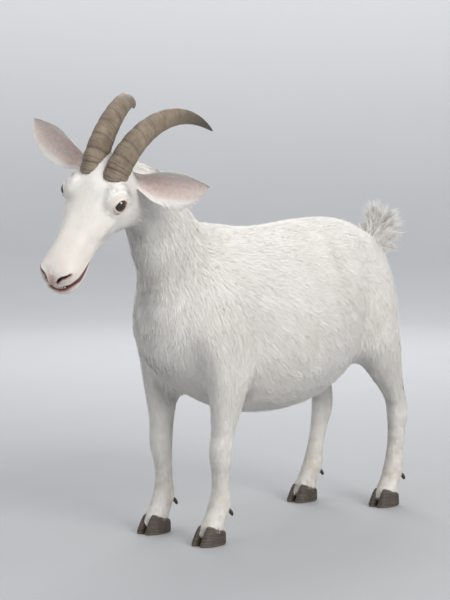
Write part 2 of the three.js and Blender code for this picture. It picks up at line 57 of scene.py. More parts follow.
# How deep the skin lies in each solid, under its hair.
COAT_DEPTH = {"trunk": 0.0065, "neck": 0.0065, "head": 0.0022, "foreleg": 0.004, "hindleg": 0.004}
FOOT_DEPTH = 0.0016  # where the hair is shortest, just above the hoof
FOOT_REACH = (0, -0.010, -0.017)  # how far the foot goes forward and down into its hooves
FOOT_ENDS = (5, 11)  # heights between which the leg is let down into its hooves
SHANK = (10, 45)  # heights between which the hair grows as long as on the upper leg
CORONET, CORONET_FLARE = 5.5, 0.0044  # where the foot meets the hooves, and how far it swells there

LOW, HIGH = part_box("trunk")
B = (HIGH.y - LOW.y) / BARREL  # a hundredth of the height at the withers
MIDDLE = np.array([(LOW.x + HIGH.x) / 2, (LOW.y + HIGH.y) / 2, 0])


def on_body(side, forward, height):
    """A point from hundredths of the withers height to the goat's left, forward and up."""
    return MIDDLE + B * np.array([side, -forward, height])


# The head is turned, tilted and lowered on the neck. Its own frame starts at the poll.
HEAD_TURN, HEAD_TILT, HEAD_PITCH = 20, 15, 47
EYE = {"side": 18.2, "forward": 34.5, "height": -10, "radius": 5.7}
EYES = {side: sum(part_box(f"eye_{side}"), Vector()) / 2 for side in SIDES}
H = (EYES["left"] - EYES["right"]).length / (2 * EYE["side"])  # a hundredth of the head's length
HEAD_AXES = Matrix.Identity(3)
for angle, axis in ((HEAD_TURN, "Z"), (HEAD_TILT, "Y"), (HEAD_PITCH, "X")):
    HEAD_AXES = HEAD_AXES @ Matrix.Rotation(math.radians(angle), 3, axis)
HEAD_AXES = np.array(HEAD_AXES)
BETWEEN_EYES = np.array(EYES["left"] + EYES["right"]) / 2
POLL = BETWEEN_EYES - HEAD_AXES @ (H * np.array([0, -EYE["forward"], EYE["height"]]))


def on_head(side, forward, height):
    """A point from hundredths of the head's length to its left, towards the nose and up from it."""
    return POLL + HEAD_AXES @ (H * np.array([side, -forward, height]))


def head_places(points):
    """Side, forward and height of points in the head's frame."""
    return ((points - POLL) @ HEAD_AXES) / H * np.array([1, -1, 1])


def body_places(points):
    """Side, forward and height of points in the body's frame."""
    return (points - MIDDLE) / B * np.array([1, -1, 1])


def smoothstep(low, high, value):
    """0 below low and 1 above high, eased between them."""
    t = np.clip((value - low) / (high - low), 0, 1)
    return t * t * (3 - 2 * t)


def ridge(value, middle, width):
    """1 where the value is middle, fading out softly on both sides."""
    return np.exp(-(((value - middle) / width) ** 2))


def in_head(points):
    """Which points are on the head, short of the throat and the ears."""
    side, forward, height = head_places(points).T
    return (forward > -8) & (height > -56) & (height < 20) & (np.abs(side) < 30)


# The mouth is a little open: the lower lip hangs from the same corners as the upper one, under the
# cheeks, and hangs furthest and a little back at the front.
MOUTH_HALF = [(10.5, 68, -30.8), (13.2, 76, -29.6), (13.5, 85, -29), (10.2, 94.5, -29.4)]
MOUTH_FRONT = (0, 99, -29.8)
JAW_DROP, JAW_BACK = 7.2, 2.4


def jaw_share(forward):
    """How far the jaw has dropped, from 0 at the corner of the mouth to 1 at its front."""
    return (forward - MOUTH_HALF[0][1]) / (MOUTH_FRONT[1] - MOUTH_HALF[0][1])


def in_mouth(points):
    """How far points are inside the mouth, from 0 out on the lips to 1."""
    _, forward, height = head_places(points).T
    upper = np.interp(forward, *np.array([*MOUTH_HALF, MOUTH_FRONT])[:, 1:].T)
    lower = upper - JAW_DROP * np.clip(jaw_share(forward), 0, 1.1)
    below, above = smoothstep(-0.9, 0.1, upper - height), smoothstep(-0.9, 0.1, height - lower)
    return below * above * smoothstep(0.03, 0.12, jaw_share(forward)) * in_head(points)


def read_rows(items, field, width=3, kind=np.float32):
    """One field of all points, edges, corners or triangles of a mesh, a row for each."""
    rows = np.empty(len(items) * width, kind)
    items.foreach_get(field, rows)
    return rows.reshape(-1, width)


def read_points(mesh):
    return read_rows(mesh.vertices, "co").astype(float)


def read_normals(mesh):
    return read_rows(mesh.vertices, "normal").astype(float)


def read_edges(mesh):
    return read_rows(mesh.edges, "vertices", 2, np.int32)


def write_points(mesh, points):
    mesh.vertices.foreach_set("co", points.astype(np.float32).ravel())
    mesh.update()


def averaged(values, edges, rounds, give=1.0):
    """Values at points, each drawn towards the mean of its neighbours."""
    a, b = edges.T
    count = np.bincount(edges.ravel(), minlength=len(values))[:, None]
    give = np.broadcast_to(np.asarray(give, float).reshape(-1, 1), (len(values), 1))
    for _ in range(rounds):
        total = np.empty_like(values)
        for k, column in enumerate(values.T):
            total[:, k] = np.bincount(a, column[b], len(values)) + np.bincount(b, column[a], len(values))
        values = values + give * (total / count - values)
    return values


def tree_of(mesh):
    """A search tree over a mesh."""
    return BVHTree.FromPolygons([v.co for v in mesh.vertices], [p.vertices[:] for p in mesh.polygons])


def away_from(tree, points):
    """How far each point is from the surface of a tree."""
    return np.array([tree.find_nearest(p)[3] for p in points])


def gathered(names, swell):
    """The named solids in one mesh, swollen a little so that neighbours run into one another."""
    build = bmesh.new()
    for name in names:
        build.from_mesh(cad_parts[name].data)
    bmesh.ops.remove_doubles(build, verts=build.verts, dist=1e-5)
    bmesh.ops.recalc_face_normals(build, faces=build.faces)
    build.normal_update()
    for vertex, shift in [(v, v.normal * swell) for v in build.verts]:
        vertex.co += shift
    mesh = bpy.data.meshes.new("gathered")
    build.to_mesh(mesh)
    build.free()
    return mesh


def add_object(name, data, finish=None):
    """Adds a mesh in its material, a lamp or the camera to the scene."""
    if finish:
        data.materials.append(finish.material)
    thing = bpy.data.objects.new(name, data)
    bpy.context.scene.collection.objects.link(thing)
    return thing


def settled(thing):
    """The mesh of an object with its modifiers applied."""
    graph = bpy.context.evaluated_depsgraph_get()
    mesh = bpy.data.meshes.new_from_object(thing.evaluated_get(graph))
    thing.modifiers.clear()
    thing.data = mesh
    return mesh


SWELL = 0.0006  # more than half the gap between two solids
skin = add_object("skin", gathered([*FLESH, "eye_left", "eye_right"], SWELL))
remesh = skin.modifiers.new("fuse", "REMESH")
remesh.mode = "VOXEL"
remesh.voxel_size = SKIN_GRAIN
settled(skin)

# How far each point of the skin is from each solid: it says which part it belongs to, and where two
# parts grow together, which is where the skin is drawn smooth.
JOIN_REACH = (0.006, 0.045)
JOIN_ROUNDS = 60  # how many times the skin is averaged there
trees = [tree_of(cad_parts[name].data) for name in FLESH]


def distances(points):
    """How far each point is from each solid of the flesh."""
    return np.stack([away_from(tree, points) for tree in trees], 1)


points = read_points(skin.data)
edges = read_edges(skin.data)
reach = distances(points)
second_nearest = np.sort(reach, 1)[:, 1]
join = 1 - smoothstep(*JOIN_REACH, second_nearest)
points = averaged(points, edges, 3, 0.6)
points = averaged(points, edges, JOIN_ROUNDS, 0.85 * join)
write_points(skin.data, points)

# The coat's depth, eased from one part to the next, less at the foot.
part = np.array([COAT_DEPTH[name.split("_")[0]] for name in FLESH])[reach.argmin(1)]
height = body_places(points)[:, 2]
points += np.outer(1 - smoothstep(*FOOT_ENDS, height), FOOT_REACH)
depth = np.where(height < SHANK[1], FOOT_DEPTH + (part - FOOT_DEPTH) * smoothstep(*SHANK, height), part)
depth = averaged(depth[:, None], edges, 14) * (1 - in_mouth(points)[:, None])
flare = CORONET_FLARE * ridge(height, CORONET, 3) * (height < 20)
points = points + (flare[:, None] - depth - SWELL) * read_normals(skin.data)
points = averaged(points, edges, 4, 0.5)
write_points(skin.data, points)

# Bones, muscles and hollows that show through the hide: where, how wide, and how far they stand out
# in millimetres. Each is on both sides.
BODY_FORMS = [
    ((14.5, 47, 67), 6, 6),  # point of the shoulder
    ((17, 33, 80), 8, 3.5),  # shoulder blade
    ((19, 24, 66), 7, -4.5),  # hollow behind the shoulder
    ((18, 30, 52), 5, 4),  # elbow
    ((16, -22, 86), 7, -7),  # flank hollow
    ((13, -31, 95), 4, 4.5),  # hook bone
    ((7, -54, 87), 4, 4),  # pin bone
    ((17, -26, 54), 6, 4),  # flank fold
    ((20, -34, 58), 5, 3),  # stifle
    ((14, -53, 62), 6, -3.5),  # hollow of the thigh
    ((0, 52, 60), 6, 5),  # brisket
    ((0, 30, 103), 5, 3),  # withers
    ((9, 52, 86), 6, -4),  # furrow of the neck
    ((8, 58, 98), 5, -3),
]


def pressed(points, normals, places, forms, measure):
    """Points raised or sunk along their normals by soft round forms."""
    total = np.zeros(len(points))
    for (side, forward, height), radius, amount in forms:
        for sign in {1, -1 if side else 1}:
            away = np.linalg.norm(places - np.array([side * sign, forward, height]), axis=1) / radius
            total += amount * measure * np.exp(-(away**2) * 1.4)
    return points + normals * total[:, None]


MM = 0.001
points = pressed(points, read_normals(skin.data), body_places(points), BODY_FORMS, MM)
write_points(skin.data, points)

# The head's hide is finer: first the whole head, then the muzzle and the surround of each eye.
build = bmesh.new()
build.from_mesh(skin.data)
MUZZLE_START = 64  # forward of this
EYE_REACH = 15  # from an eye's middle


def in_fine_face(points):
    """Which points are on the muzzle or round an eye."""
    place = head_places(points)
    eye = np.array([EYE["side"], EYE["forward"], EYE["height"]])
    from_eye = np.linalg.norm(np.abs(place) * [1, 1, 0] + place * [0, 0, 1] - eye, axis=1)
    return in_head(points) & ((place[:, 1] > MUZZLE_START) | (from_eye < EYE_REACH))


for chosen in (in_head, in_fine_face):
    centres = np.array([face.calc_center_median() for face in build.faces])
    inside = chosen(centres)
    cut = {edge for face, keep in zip(build.faces, inside) if keep for edge in face.edges}
    bmesh.ops.subdivide_edges(build, edges=list(cut), cuts=1, use_grid_fill=True)
build.to_mesh(skin.data)
build.free()

points = read_points(skin.data)
edges = read_edges(skin.data)
face_share = averaged(in_head(points)[:, None].astype(float), edges, 6)
points = averaged(points, edges, 10, 0.5 * face_share)
muzzle_share = smoothstep(MUZZLE_START + 2, MUZZLE_START + 8, head_places(points)[:, 1]) * in_head(points)
points = averaged(points, edges, 12, 0.6 * muzzle_share)
write_points(skin.data, points)

# The same kind of forms on the head, in its own frame.
HEAD_FORMS = [
    ((15, 33, 0), 5, 3.6),  # brow
    ((18, 40, -18.5), 4.5, 2.4),  # cheekbone
    ((17, 47, -20), 4.5, 2.4),
    ((15, 55, -21.5), 4.5, 2.0),
    ((12, 44, -9), 5, -2.4),  # tear hollow, in front of the eye
    ((15, 55, -31), 7, -5.0),  # hollow in front of the cheek
    ((18, 24, -30), 9, 1.6),  # cheek
    ((18, 17, -6), 5, -2.5),  # temple
    ((17, 16, -42), 6, 2.0),  # angle of the jaw
    ((7.5, 60, -8), 6, 1.5),  # edge of the nose bone
    ((7.5, 72, -11), 6, 1.3),
    ((0, 64, -7), 5, -1.0),
    ((13, 66, -18.5), 6, -2.6),
    ((12, 76, -19), 5, -1.4),
    ((0, 30, 4), 7, 2.0),  # forehead
    ((9, 90, -20), 4, 1.6),  # wing of the nostril
    ((0, 96, -24), 3, 0.6),
    ((0, 91, -36), 6, 2.2),  # chin
    ((8, 88, -26), 5, 2.0),  # upper lip
    ((9, 84, -33), 4, 1.0),  # lower lip
]
share = MM * face_share[:, 0]
points = pressed(points, read_normals(skin.data), head_places(points), HEAD_FORMS, share)
write_points(skin.data, points)


def between(values, slopes, t):
    """The smooth curve from the first of two values to the second, with a slope at each."""
    first, second = values
    start, end = slopes
    curve = (2 * t**3 - 3 * t**2 + 1) * first + (t**3 - 2 * t**2 + t) * start
    return curve + (3 * t**2 - 2 * t**3) * second + (t**3 - t**2) * end


def curve_through(knots, count):
    """Points spread evenly along a smooth curve through the knots."""
    knots = np.array(knots, float)
    ends = np.vstack([2 * knots[0] - knots[1], knots, 2 * knots[-1] - knots[-2]])
    run = []
    for p0, p1, p2, p3 in zip(ends, ends[1:], ends[2:], ends[3:]):
        d0, d1, d2 = (np.linalg.norm(q - p) ** 0.5 for p, q in ((p0, p1), (p1, p2), (p2, p3)))
        m1 = d1 * ((p1 - p0) / d0 - (p2 - p0) / (d0 + d1) + (p2 - p1) / d1)
        m2 = d1 * ((p2 - p1) / d1 - (p3 - p1) / (d1 + d2) + (p3 - p2) / d2)
        run.append(between((p1, p2), (m1, m2), np.linspace(0, 1, 40)[:, None]))
    run = np.vstack(run)
    length = np.concatenate([[0], np.cumsum(np.linalg.norm(np.diff(run, axis=0), axis=1))])
    even = np.linspace(0, length[-1], count)
    return np.stack([np.interp(even, length, run[:, k]) for k in range(3)], 1)


def nearest_on(points, line):
    """For each point, its distance to a line of points and the share of the line where it is nearest."""
    away = np.linalg.norm(points[:, None, :] - line[None, :, :], axis=2)
    where = away.argmin(1)
    return away[np.arange(len(points)), where], where / (len(line) - 1)


def lip_line(hang, count):
    """The edge of the upper lip, or of the lower one where it hangs by the whole drop of the jaw."""
    knots = np.array([*MOUTH_HALF, MOUTH_FRONT, *[(-s, f, h) for s, f, h in reversed(MOUTH_HALF)]])
    share = hang * jaw_share(knots[:, 1])
    return curve_through(knots - share[:, None] * [0, JAW_BACK, JAW_DROP], count)


NOSTRIL = [(3.6, 98.4, -25.4), (5.8, 97.8, -22.6), (9, 96, -20.8), (11.4, 92.4, -20.6)]
NOSTRIL_OUT = (0.45, 0.85, 0.25)  # where the left one faces, in the head's frame
NOSTRIL_DEPTH = 9  # millimetres


def nostril_line(sign, into):
    """The comma of a nostril, as a line on the muzzle or a number of millimetres into it."""
    knots = np.array(NOSTRIL) - np.array(NOSTRIL_OUT) * into * MM / H
    return curve_through(knots * [sign, 1, 1], 60)


# The lips are drawn into a fold at the corners of the mouth and rolled a little along their edges. The
# nostrils are sunk and have a raised rim, and a groove runs down between them.
LIP_CORNER = (0, 0.12)  # shares of a lip's length over which it takes shape from its corner
muzzle = np.flatnonzero(in_head(points) & (head_places(points)[:, 1] > MUZZLE_START))
place = head_places(points[muzzle])
outside = 1 - in_mouth(points[muzzle])
shift = np.zeros(len(muzzle))
for hang in (0, 1):
    away, share = nearest_on(place, lip_line(hang, 160))
    away_mm = away * H / MM
    from_corner = smoothstep(*LIP_CORNER, np.minimum(share, 1 - share))
    closed = 1 - smoothstep(0.05, 0.25, jaw_share(place[:, 1]))
    fold = -1.4 * closed * ridge(away_mm, 0, 1.5)
    shift += MM * from_corner * outside * (fold + 0.8 * ridge(away_mm, 3.4, 2.2))
for sign in SIDES.values():
    away, share = nearest_on(place, nostril_line(sign, 0))
    away_mm = away * H / MM
    half = 1.5 + 2.4 * np.sin(np.pi * np.clip(share * 1.1, 0, 1)) ** 1.5
    hole = 1 - smoothstep(half * 0.45, half * 1.25, away_mm)
    shift += MM * (1.2 * ridge(away_mm, half + 2, 1.6) - NOSTRIL_DEPTH * hole)
side, forward, height = place.T
groove = ridge(side, 0, 0.7) * smoothstep(93, 96, forward) * smoothstep(-31, -27, height)
shift -= 0.9 * MM * groove
points[muzzle] += read_normals(skin.data)[muzzle] * shift[:, None]
write_points(skin.data, points)
points = averaged(points, edges, 2, 0.35 * muzzle_share)
write_points(skin.data, points)


def track(rows, at):
    """Smooth values between the rows of a table, whose first column is the station."""
    rows = np.array(rows, float)
    station, values = rows[:, 0], rows[:, 1:]
    slope = np.gradient(values, station, axis=0)
    i = np.clip(np.searchsorted(station, at) - 1, 0, len(station) - 2)
    span = (station[i + 1] - station[i])[:, None]
    t = (at - station[i])[:, None] / span
    return between((values[i], values[i + 1]), (slope[i] * span, slope[i + 1] * span), t)


def unit(vectors):
    """Each vector made 1 long."""
    return vectors / np.maximum(np.linalg.norm(vectors, axis=-1, keepdims=True), 1e-12)


def turns(count):
    """Angles spread evenly all the way round."""
    return np.linspace(0, 2 * np.pi, count, endpoint=False)


def ring_faces(count, around, closed=False):
    """The faces between rings of points. Closed, the last ring is joined to the first one too."""
    first = np.arange((count if closed else count - 1) * around)
    second = first - first % around + (first + 1) % around
    whole = count * around
    return np.stack([first, second, (second + around) % whole, (first + around) % whole], 1).tolist()


def capped(rings):
    """A tube through rings of points, closed by a point in the middle of each end."""
    count, around = rings.shape[:2]
    faces = ring_faces(count, around)
    hub, last = count * around, (count - 1) * around
    for j in range(around):
        faces.append((hub, (j + 1) % around, j))
        faces.append((hub + 1, last + j, last + (j + 1) % around))
    return np.vstack([rings.reshape(-1, 3), rings[0].mean(0), rings[-1].mean(0)]), faces


def swept(line, lift, rings):
    """A closed tube along a line. Each ring is a row of points across and above the line."""
    along = unit(np.gradient(line, axis=0))
    up = unit(lift - (along @ lift)[:, None] * along)
    side = np.cross(up, along)
    return capped(line[:, None] + rings[..., :1] * side[:, None] + rings[..., 1:] * up[:, None])


def solid_mesh(name, points, faces, mirror=False):
    """A smooth mesh from points in metres. A mirrored shape has its faces turned again."""
    mesh = bpy.data.meshes.new(name)
    mesh.from_pydata(points.tolist(), [], [face[::-1] for face in faces] if mirror else faces)
    mesh.update()
    mesh.shade_smooth()
    return mesh


# Each ear is a thin cupped leaf of gristle that opens forwards, with low ridges inside it. The left
# one hangs a little lower.
EAR_LINE = [(14.5, 8, -12.5), (24, 8, -10.5), (38, 6.5, -7), (52, 2, -3.5), (64.2, -4, 1.6)]
EAR = [  # share of its length, half width, depth of the cup, thickness
    (0, 4.6, 4.3, 3.6),
    (0.16, 6.2, 7.3, 2.2),
    (0.34, 10.5, 7.5, 1.3),
    (0.53, 12.3, 5.7, 1.0),
    (0.72, 10.3, 3.9, 0.9),
    (0.88, 5.9, 2.1, 0.8),
    (0.97, 2.2, 0.7, 0.7),
    (1, 0.6, 0.2, 0.4),
]
EAR_LIFT = np.array([0.1, 0.86, -0.5])  # the way its back faces
EAR_RIDGES = 5
EAR_DROOP = {1: 20, -1: 0}  # degrees that the left and the right ear hang


def ear_ways(sign, ways):
    """Ways on a left-hand ear, turned down by its droop and mirrored for the right one."""
    droop = math.radians(EAR_DROOP[sign])
    side, along, height = np.moveaxis(np.asarray(ways, float), -1, 0)
    turned = side * math.cos(droop) + height * math.sin(droop)
    return np.stack([sign * turned, along, height * math.cos(droop) - side * math.sin(droop)], -1)


def ear_places(sign, places):
    """Side, forward and height in the head's frame of places on a left-hand ear."""
    root = np.array(EAR_LINE[0])
    return root * [sign, 1, 1] + ear_ways(sign, places - root)


def ear_mesh(sign):
    """An ear, swept from its root to its tip with a cupped ring."""
    line = curve_through(EAR_LINE, 100)
    half, cup, thick = track(EAR, np.linspace(0, 1, len(line))).T[:, :, None]
    angle = turns(64)
    across = half * np.cos(angle)
    ridges = 0.22 * np.cos(EAR_RIDGES * np.pi * np.cos(angle)) * (np.sin(angle) < 0)
    ridges = ridges * np.linspace(1, 0, len(line))[:, None] * np.abs(np.sin(angle))
    above = cup * (np.sin(angle) ** 2 - 0.5) + (thick / 2) * np.sin(angle) + ridges
    line = np.stack([line[:, 0], -line[:, 1], line[:, 2]], 1)
    points, faces = swept(line, EAR_LIFT, np.stack([across, above], 2))
    places = ear_places(sign, points * [1, -1, 1])
    return solid_mesh("ear", POLL + (H * places * [1, -1, 1]) @ HEAD_AXES.T, faces, sign < 0)


# The tail's own flesh is a short tapered stub, raised and hidden in its hair.
TAIL_LINE = [(0, -50, 86), (0, -56, 89.5), (0, -60.5, 94), (0, -62.6, 98.2)]
TAIL_HALF = (3.6, 1.5)  # half its width at the root and at the tip
TAIL_FLAT = 0.75  # its height as a share of its width


def tail_mesh():
    line = MIDDLE + B * curve_through(TAIL_LINE, 40) * [1, -1, 1]
    angle = turns(28)
    half = np.linspace(*TAIL_HALF, len(line))[:, None] * B
    ring = np.stack([half * np.cos(angle), half * TAIL_FLAT * np.sin(angle)], 2)
    return solid_mesh("dock", *swept(line, np.array([0, 0, 1.0]), ring))


# Ears and tail are grown into the hide, which is then smoothed round their roots.
GROWN = {"ear_left": ear_mesh(1), "ear_right": ear_mesh(-1), "tail": tail_mesh()}
body_tree = tree_of(skin.data)
grown_trees = {name: tree_of(mesh) for name, mesh in GROWN.items()}
for name, mesh in GROWN.items():
    join = skin.modifiers.new(name, "BOOLEAN")
    join.operation = "UNION"
    join.solver = "MANIFOLD"
    join.object = add_object(name + "_grown", mesh)
settled(skin)
for name in GROWN:
    bpy.data.objects.remove(bpy.data.objects[name + "_grown"])

points = read_points(skin.data)
edges = read_edges(skin.data)
to_body = away_from(body_tree, points)
to_grown = {name: away_from(tree, points) for name, tree in grown_trees.items()}
SEAM_REACH = 0.003
seam = ((to_body < SEAM_REACH) & (np.min(list(to_grown.values()), 0) < SEAM_REACH)).astype(float)
seam = np.clip(averaged(seam[:, None], edges, 3) * 1.5, 0, 1)
points = averaged(points, edges, 12, 0.7 * seam)
write_points(skin.data, points)
skin.data.shade_smooth()


class Wire:
    """A socket of a material. Sums with wires and numbers add the nodes that work them out."""

    def __init__(self, finish, socket):
        self.finish = finish
        self.socket = socket

    def worked_out(self, operation, *values):
        return self.finish.node("Math", {"operation": operation}, dict(enumerate(values)))

    def __add__(self, other):
        return self.worked_out("ADD", self, other)

    def __sub__(self, other):
        return self.worked_out("SUBTRACT", self, other)

    def __rsub__(self, other):
        return self.worked_out("SUBTRACT", other, self)

    def __mul__(self, other):
        return self.worked_out("MULTIPLY", self, other)

    def __truediv__(self, other):
        return self.worked_out("DIVIDE", self, other)

    def __pow__(self, other):
        return self.worked_out("POWER", self, other)

    __radd__ = __add__
    __rmul__ = __mul__

    def rise(self, low, high):
        """0 below low and 1 above high, eased between them."""
        limits = {"Value": self, "From Min": low, "From Max": high}
        return self.finish.node("MapRange", {"interpolation_type": "SMOOTHSTEP"}, limits)


class Finish:
    """A material. Each of its nodes comes from node(), and its constants sit on the shader itself."""

    def __init__(self, name, **constants):
        self.material = bpy.data.materials.new(name)
        self.material.use_nodes = True
        self.tree = self.material.node_tree
        self.shader = self.tree.nodes["Principled BSDF"]
        for socket, value in constants.items():
            self.shader.inputs[socket.replace("_", " ")].default_value = value

    def node(self, kind, settings, inputs, output=0):
        node = self.tree.nodes.new("ShaderNode" + kind)
        for name, value in settings.items():
            setattr(node, name, value)
        for key, value in inputs.items():
            self.feed(node.inputs[key], value)
        return Wire(self, node.outputs[output])

    def feed(self, socket, value):
        if isinstance(value, Wire):
            self.tree.links.new(value.socket, socket)
        else:
            socket.default_value = value

    def paint(self, socket, value):
        self.feed(self.shader.inputs[socket], value)

    def mix(self, share, first, second):
        colours = [(*c, 1) if isinstance(c, tuple) else c for c in (first, second)]
        return self.node("Mix", {"data_type": "RGBA"}, {0: share, 6: colours[0], 7: colours[1]}, 2)

    def place(self, stretch=(1, 1, 1), attribute=None):
        """Where on the goat a point is, in metres, or a stored place, with each axis stretched."""
        if attribute:
            where = self.node("Attribute", {"attribute_name": attribute}, {}, "Vector")
        else:
            where = self.node("TexCoord", {}, {}, "Object")
        return self.node("VectorMath", {"operation": "MULTIPLY"}, {0: where, 1: stretch})

    def noise(self, scale, where, detail=3.0, roughness=0.55):
        inputs = {"Vector": where, "Scale": scale, "Detail": detail, "Roughness": roughness}
        return self.node("TexNoise", {}, inputs)

    def attribute(self, name):
        return self.node("Attribute", {"attribute_name": name}, {}, "Fac")

    def split(self, where):
        return [self.node("SeparateXYZ", {}, {0: where}, axis) for axis in "XYZ"]

    def bump(self, height, distance, strength=1.0):
        normal = self.node("Bump", {}, {"Strength": strength, "Distance": distance, "Height": height})
        self.paint("Normal", normal)


def store(mesh, name, values):
    """Keeps a number or a vector for each point of a mesh, for its material to read."""
    kind, field = ("FLOAT_VECTOR", "vector") if values.ndim == 2 else ("FLOAT", "value")
    layer = mesh.attributes.new(name, kind, "POINT")
    layer.data.foreach_set(field, values.astype(np.float32).ravel())


# Where the hide is bare and pink: round the nostrils, along the lips, and in the cup of each ear. Where
# the hair is short, as on the muzzle, the hide shows through it.
HAIR_WHITE, HAIR_CREAM = (0.83, 0.812, 0.78), (0.77, 0.725, 0.655)
HAIR_SHORT = (0.70, 0.645, 0.585)
HAIR_SOILED = (0.46, 0.38, 0.28)
HIDE_PINK, HIDE_FLUSHED = (0.60, 0.44, 0.395), (0.46, 0.30, 0.26)
# Inside the mouth: its own red, darkened with painted shade of the mouth's hollow.
MOUTH_RED_AND_SHADE = (0.17, 0.058, 0.052)
# Deep in a nostril: painted shade, nearly black.
NOSTRIL_SHADE = (0.035, 0.014, 0.012)


def hair_colour(finish):
    """White hair, creamier in places, and stained a little where the legs are near the ground."""
    cream = finish.noise(9, finish.place(), 3).rise(0.42, 0.74) * 0.55
    height = finish.split(finish.place())[2]
    soil = (1 - height.rise(0.03, 0.22)) * finish.noise(60, finish.place(), 4).rise(0.35, 0.7)
    clean = finish.mix(cream, HAIR_WHITE, HAIR_CREAM)
    clean = finish.mix(finish.attribute("short") * 0.85, clean, HAIR_SHORT)
    return finish.mix(soil * 0.5, clean, HAIR_SOILED)


hide_finish = Finish("hide", Specular_IOR_Level=0.35)
bare = hide_finish.attribute("bare")
mottle = hide_finish.noise(220, hide_finish.place(), 4)
bare_colour = hide_finish.mix(mottle.rise(0.35, 0.7), HIDE_PINK, HIDE_FLUSHED)
# Inside the mouth the hide is painted its own red, deepened by painted shade.
bare_colour = hide_finish.mix(hide_finish.attribute("mouth"), bare_colour, MOUTH_RED_AND_SHADE)
# Deep in each nostril the hide is painted nearly black, as painted shade.
bare_colour = hide_finish.mix(hide_finish.attribute("nostril"), bare_colour, NOSTRIL_SHADE)
hide_finish.paint("Base Color", hide_finish.mix(bare, hair_colour(hide_finish), bare_colour))
hide_finish.paint("Roughness", 0.85 - bare * 0.35 - hide_finish.attribute("mouth") * 0.2)
hide_finish.bump(hide_finish.noise(900, hide_finish.place(), 3) + mottle, 0.0007, 0.5)


def bare_share(points, normals):
    """How bare the hide is, from 0 to 1."""
    place = head_places(points)
    bare = np.zeros(len(points))
    beside, forward, height = place.T
    near = np.flatnonzero((forward > MUZZLE_START) & (np.abs(beside) < 22) & (height > -50))
    for hang in (0, 1):
        away, share = nearest_on(place[near], lip_line(hang, 120))
        from_corner = smoothstep(*LIP_CORNER, np.minimum(share, 1 - share))
        bare[near] = np.maximum(bare[near], (1 - smoothstep(0.7, 2.4, away * H / MM)) * from_corner)
    bare = np.maximum(bare, in_mouth(points))
    for sign in SIDES.values():
        for into in np.linspace(0, NOSTRIL_DEPTH, 4):
            away = nearest_on(place[near], nostril_line(sign, into))[0] * H / MM
            bare[near] = np.maximum(bare[near], 1 - smoothstep(2.8, 5.0, away))
    pad = ridge(beside, 0, 3.2) * smoothstep(94, 98, forward)
    bare = np.maximum(bare, pad * (height < -20) * (height > -30))
    for side, sign in SIDES.items():
        cupped = -(normals @ HEAD_AXES) @ unit(ear_ways(sign, EAR_LIFT))
        line = ear_places(sign, curve_through(EAR_LINE, 60))
        off, share = nearest_on(place[in_ear[side]], line)
        inside = smoothstep(0.25, 0.75, cupped[in_ear[side]]) * (1 - smoothstep(6, 11.5, off))
        bare[in_ear[side]] = inside * (0.85 - 0.35 * share) * smoothstep(0.0, 0.2, share)
    return bare


def in_nostril(points):
    """How deep points are in a nostril, from 0 to 1."""
    inside = np.zeros(len(points))
    place = head_places(points)
    near = np.flatnonzero(in_head(points) & (place[:, 1] > MUZZLE_START))
    for sign in SIDES.values():
        for into in np.linspace(0.5, 1, 3) * NOSTRIL_DEPTH:
            away = nearest_on(place[near], nostril_line(sign, into))[0] * H / MM
            inside[near] = np.maximum(inside[near], 1 - smoothstep(1.5, 4.6, away))
    return inside


# Which part each point of the hide belongs to: the nearest solid, or an ear or the tail if it is on one.
ON_GROWN = 0.0012
labels = np.array([*FLESH, *GROWN])
points, normals = read_points(skin.data), read_normals(skin.data)
off_grown = np.stack([(to_grown[name] > ON_GROWN) | (to_body < ON_GROWN) for name in GROWN], 1)
belongs = np.hstack([distances(points), off_grown * 2.0 - 1]).argmin(1)
in_ear = {side: np.flatnonzero(labels[belongs] == f"ear_{side}") for side in SIDES}
skin_bare = bare_share(points, normals)
store(skin.data, "bare", skin_bare)
store(skin.data, "mouth", in_mouth(points))
store(skin.data, "nostril", in_nostril(points))
skin.data.materials.clear()
skin.data.materials.append(hide_finish.material)

# ---- Eyes ---------------------------------------------------------------------------------------
# A goat's eye is a wet ball with a bulging clear front, a dark brown iris and a level slot for a
# pupil. Its lids are folds of hide that slide over the ball, bare and pink along their margins.

EYE_RADIUS = EYE["radius"] * H
IRIS_REACH = 0.84  # radians from the middle of the iris to its rim
CORNEA_RISE = 0.0011
EYE_OUT = unit(np.array([0.9, -0.36, 0.14]))  # where the left eye looks, in the head's axes
LID_SLOPE = math.radians(24)
PUPIL = (0.46, 0.17)  # half its length and height, as shares of the eye's radius
PUPIL_BLACK = (0.003, 0.003, 0.004)
IRIS_DARK, IRIS_BROWN, IRIS_RIM = (0.014, 0.006, 0.003), (0.070, 0.032, 0.011), (0.008, 0.005, 0.004)
BALL_BROWN, BALL_PALE = (0.09, 0.045, 0.03), (0.45, 0.33, 0.28)


def eye_axes(sign):
    """Along the opening towards the ear, up across it, and straight out, on the goat."""
    back = np.array([0, math.cos(LID_SLOPE), -math.sin(LID_SLOPE)])
    back = unit(back - (back @ EYE_OUT) * EYE_OUT)
    axes = np.stack([back, np.cross(EYE_OUT, back), EYE_OUT]) * [sign, 1, 1]
    return axes @ HEAD_AXES.T


def eye_reach(angle):
    """How far the ball's surface is from its middle at an angle from the way it looks."""
    return EYE_RADIUS + CORNEA_RISE * np.clip(1 - (angle / IRIS_REACH) ** 2, 0, 1)


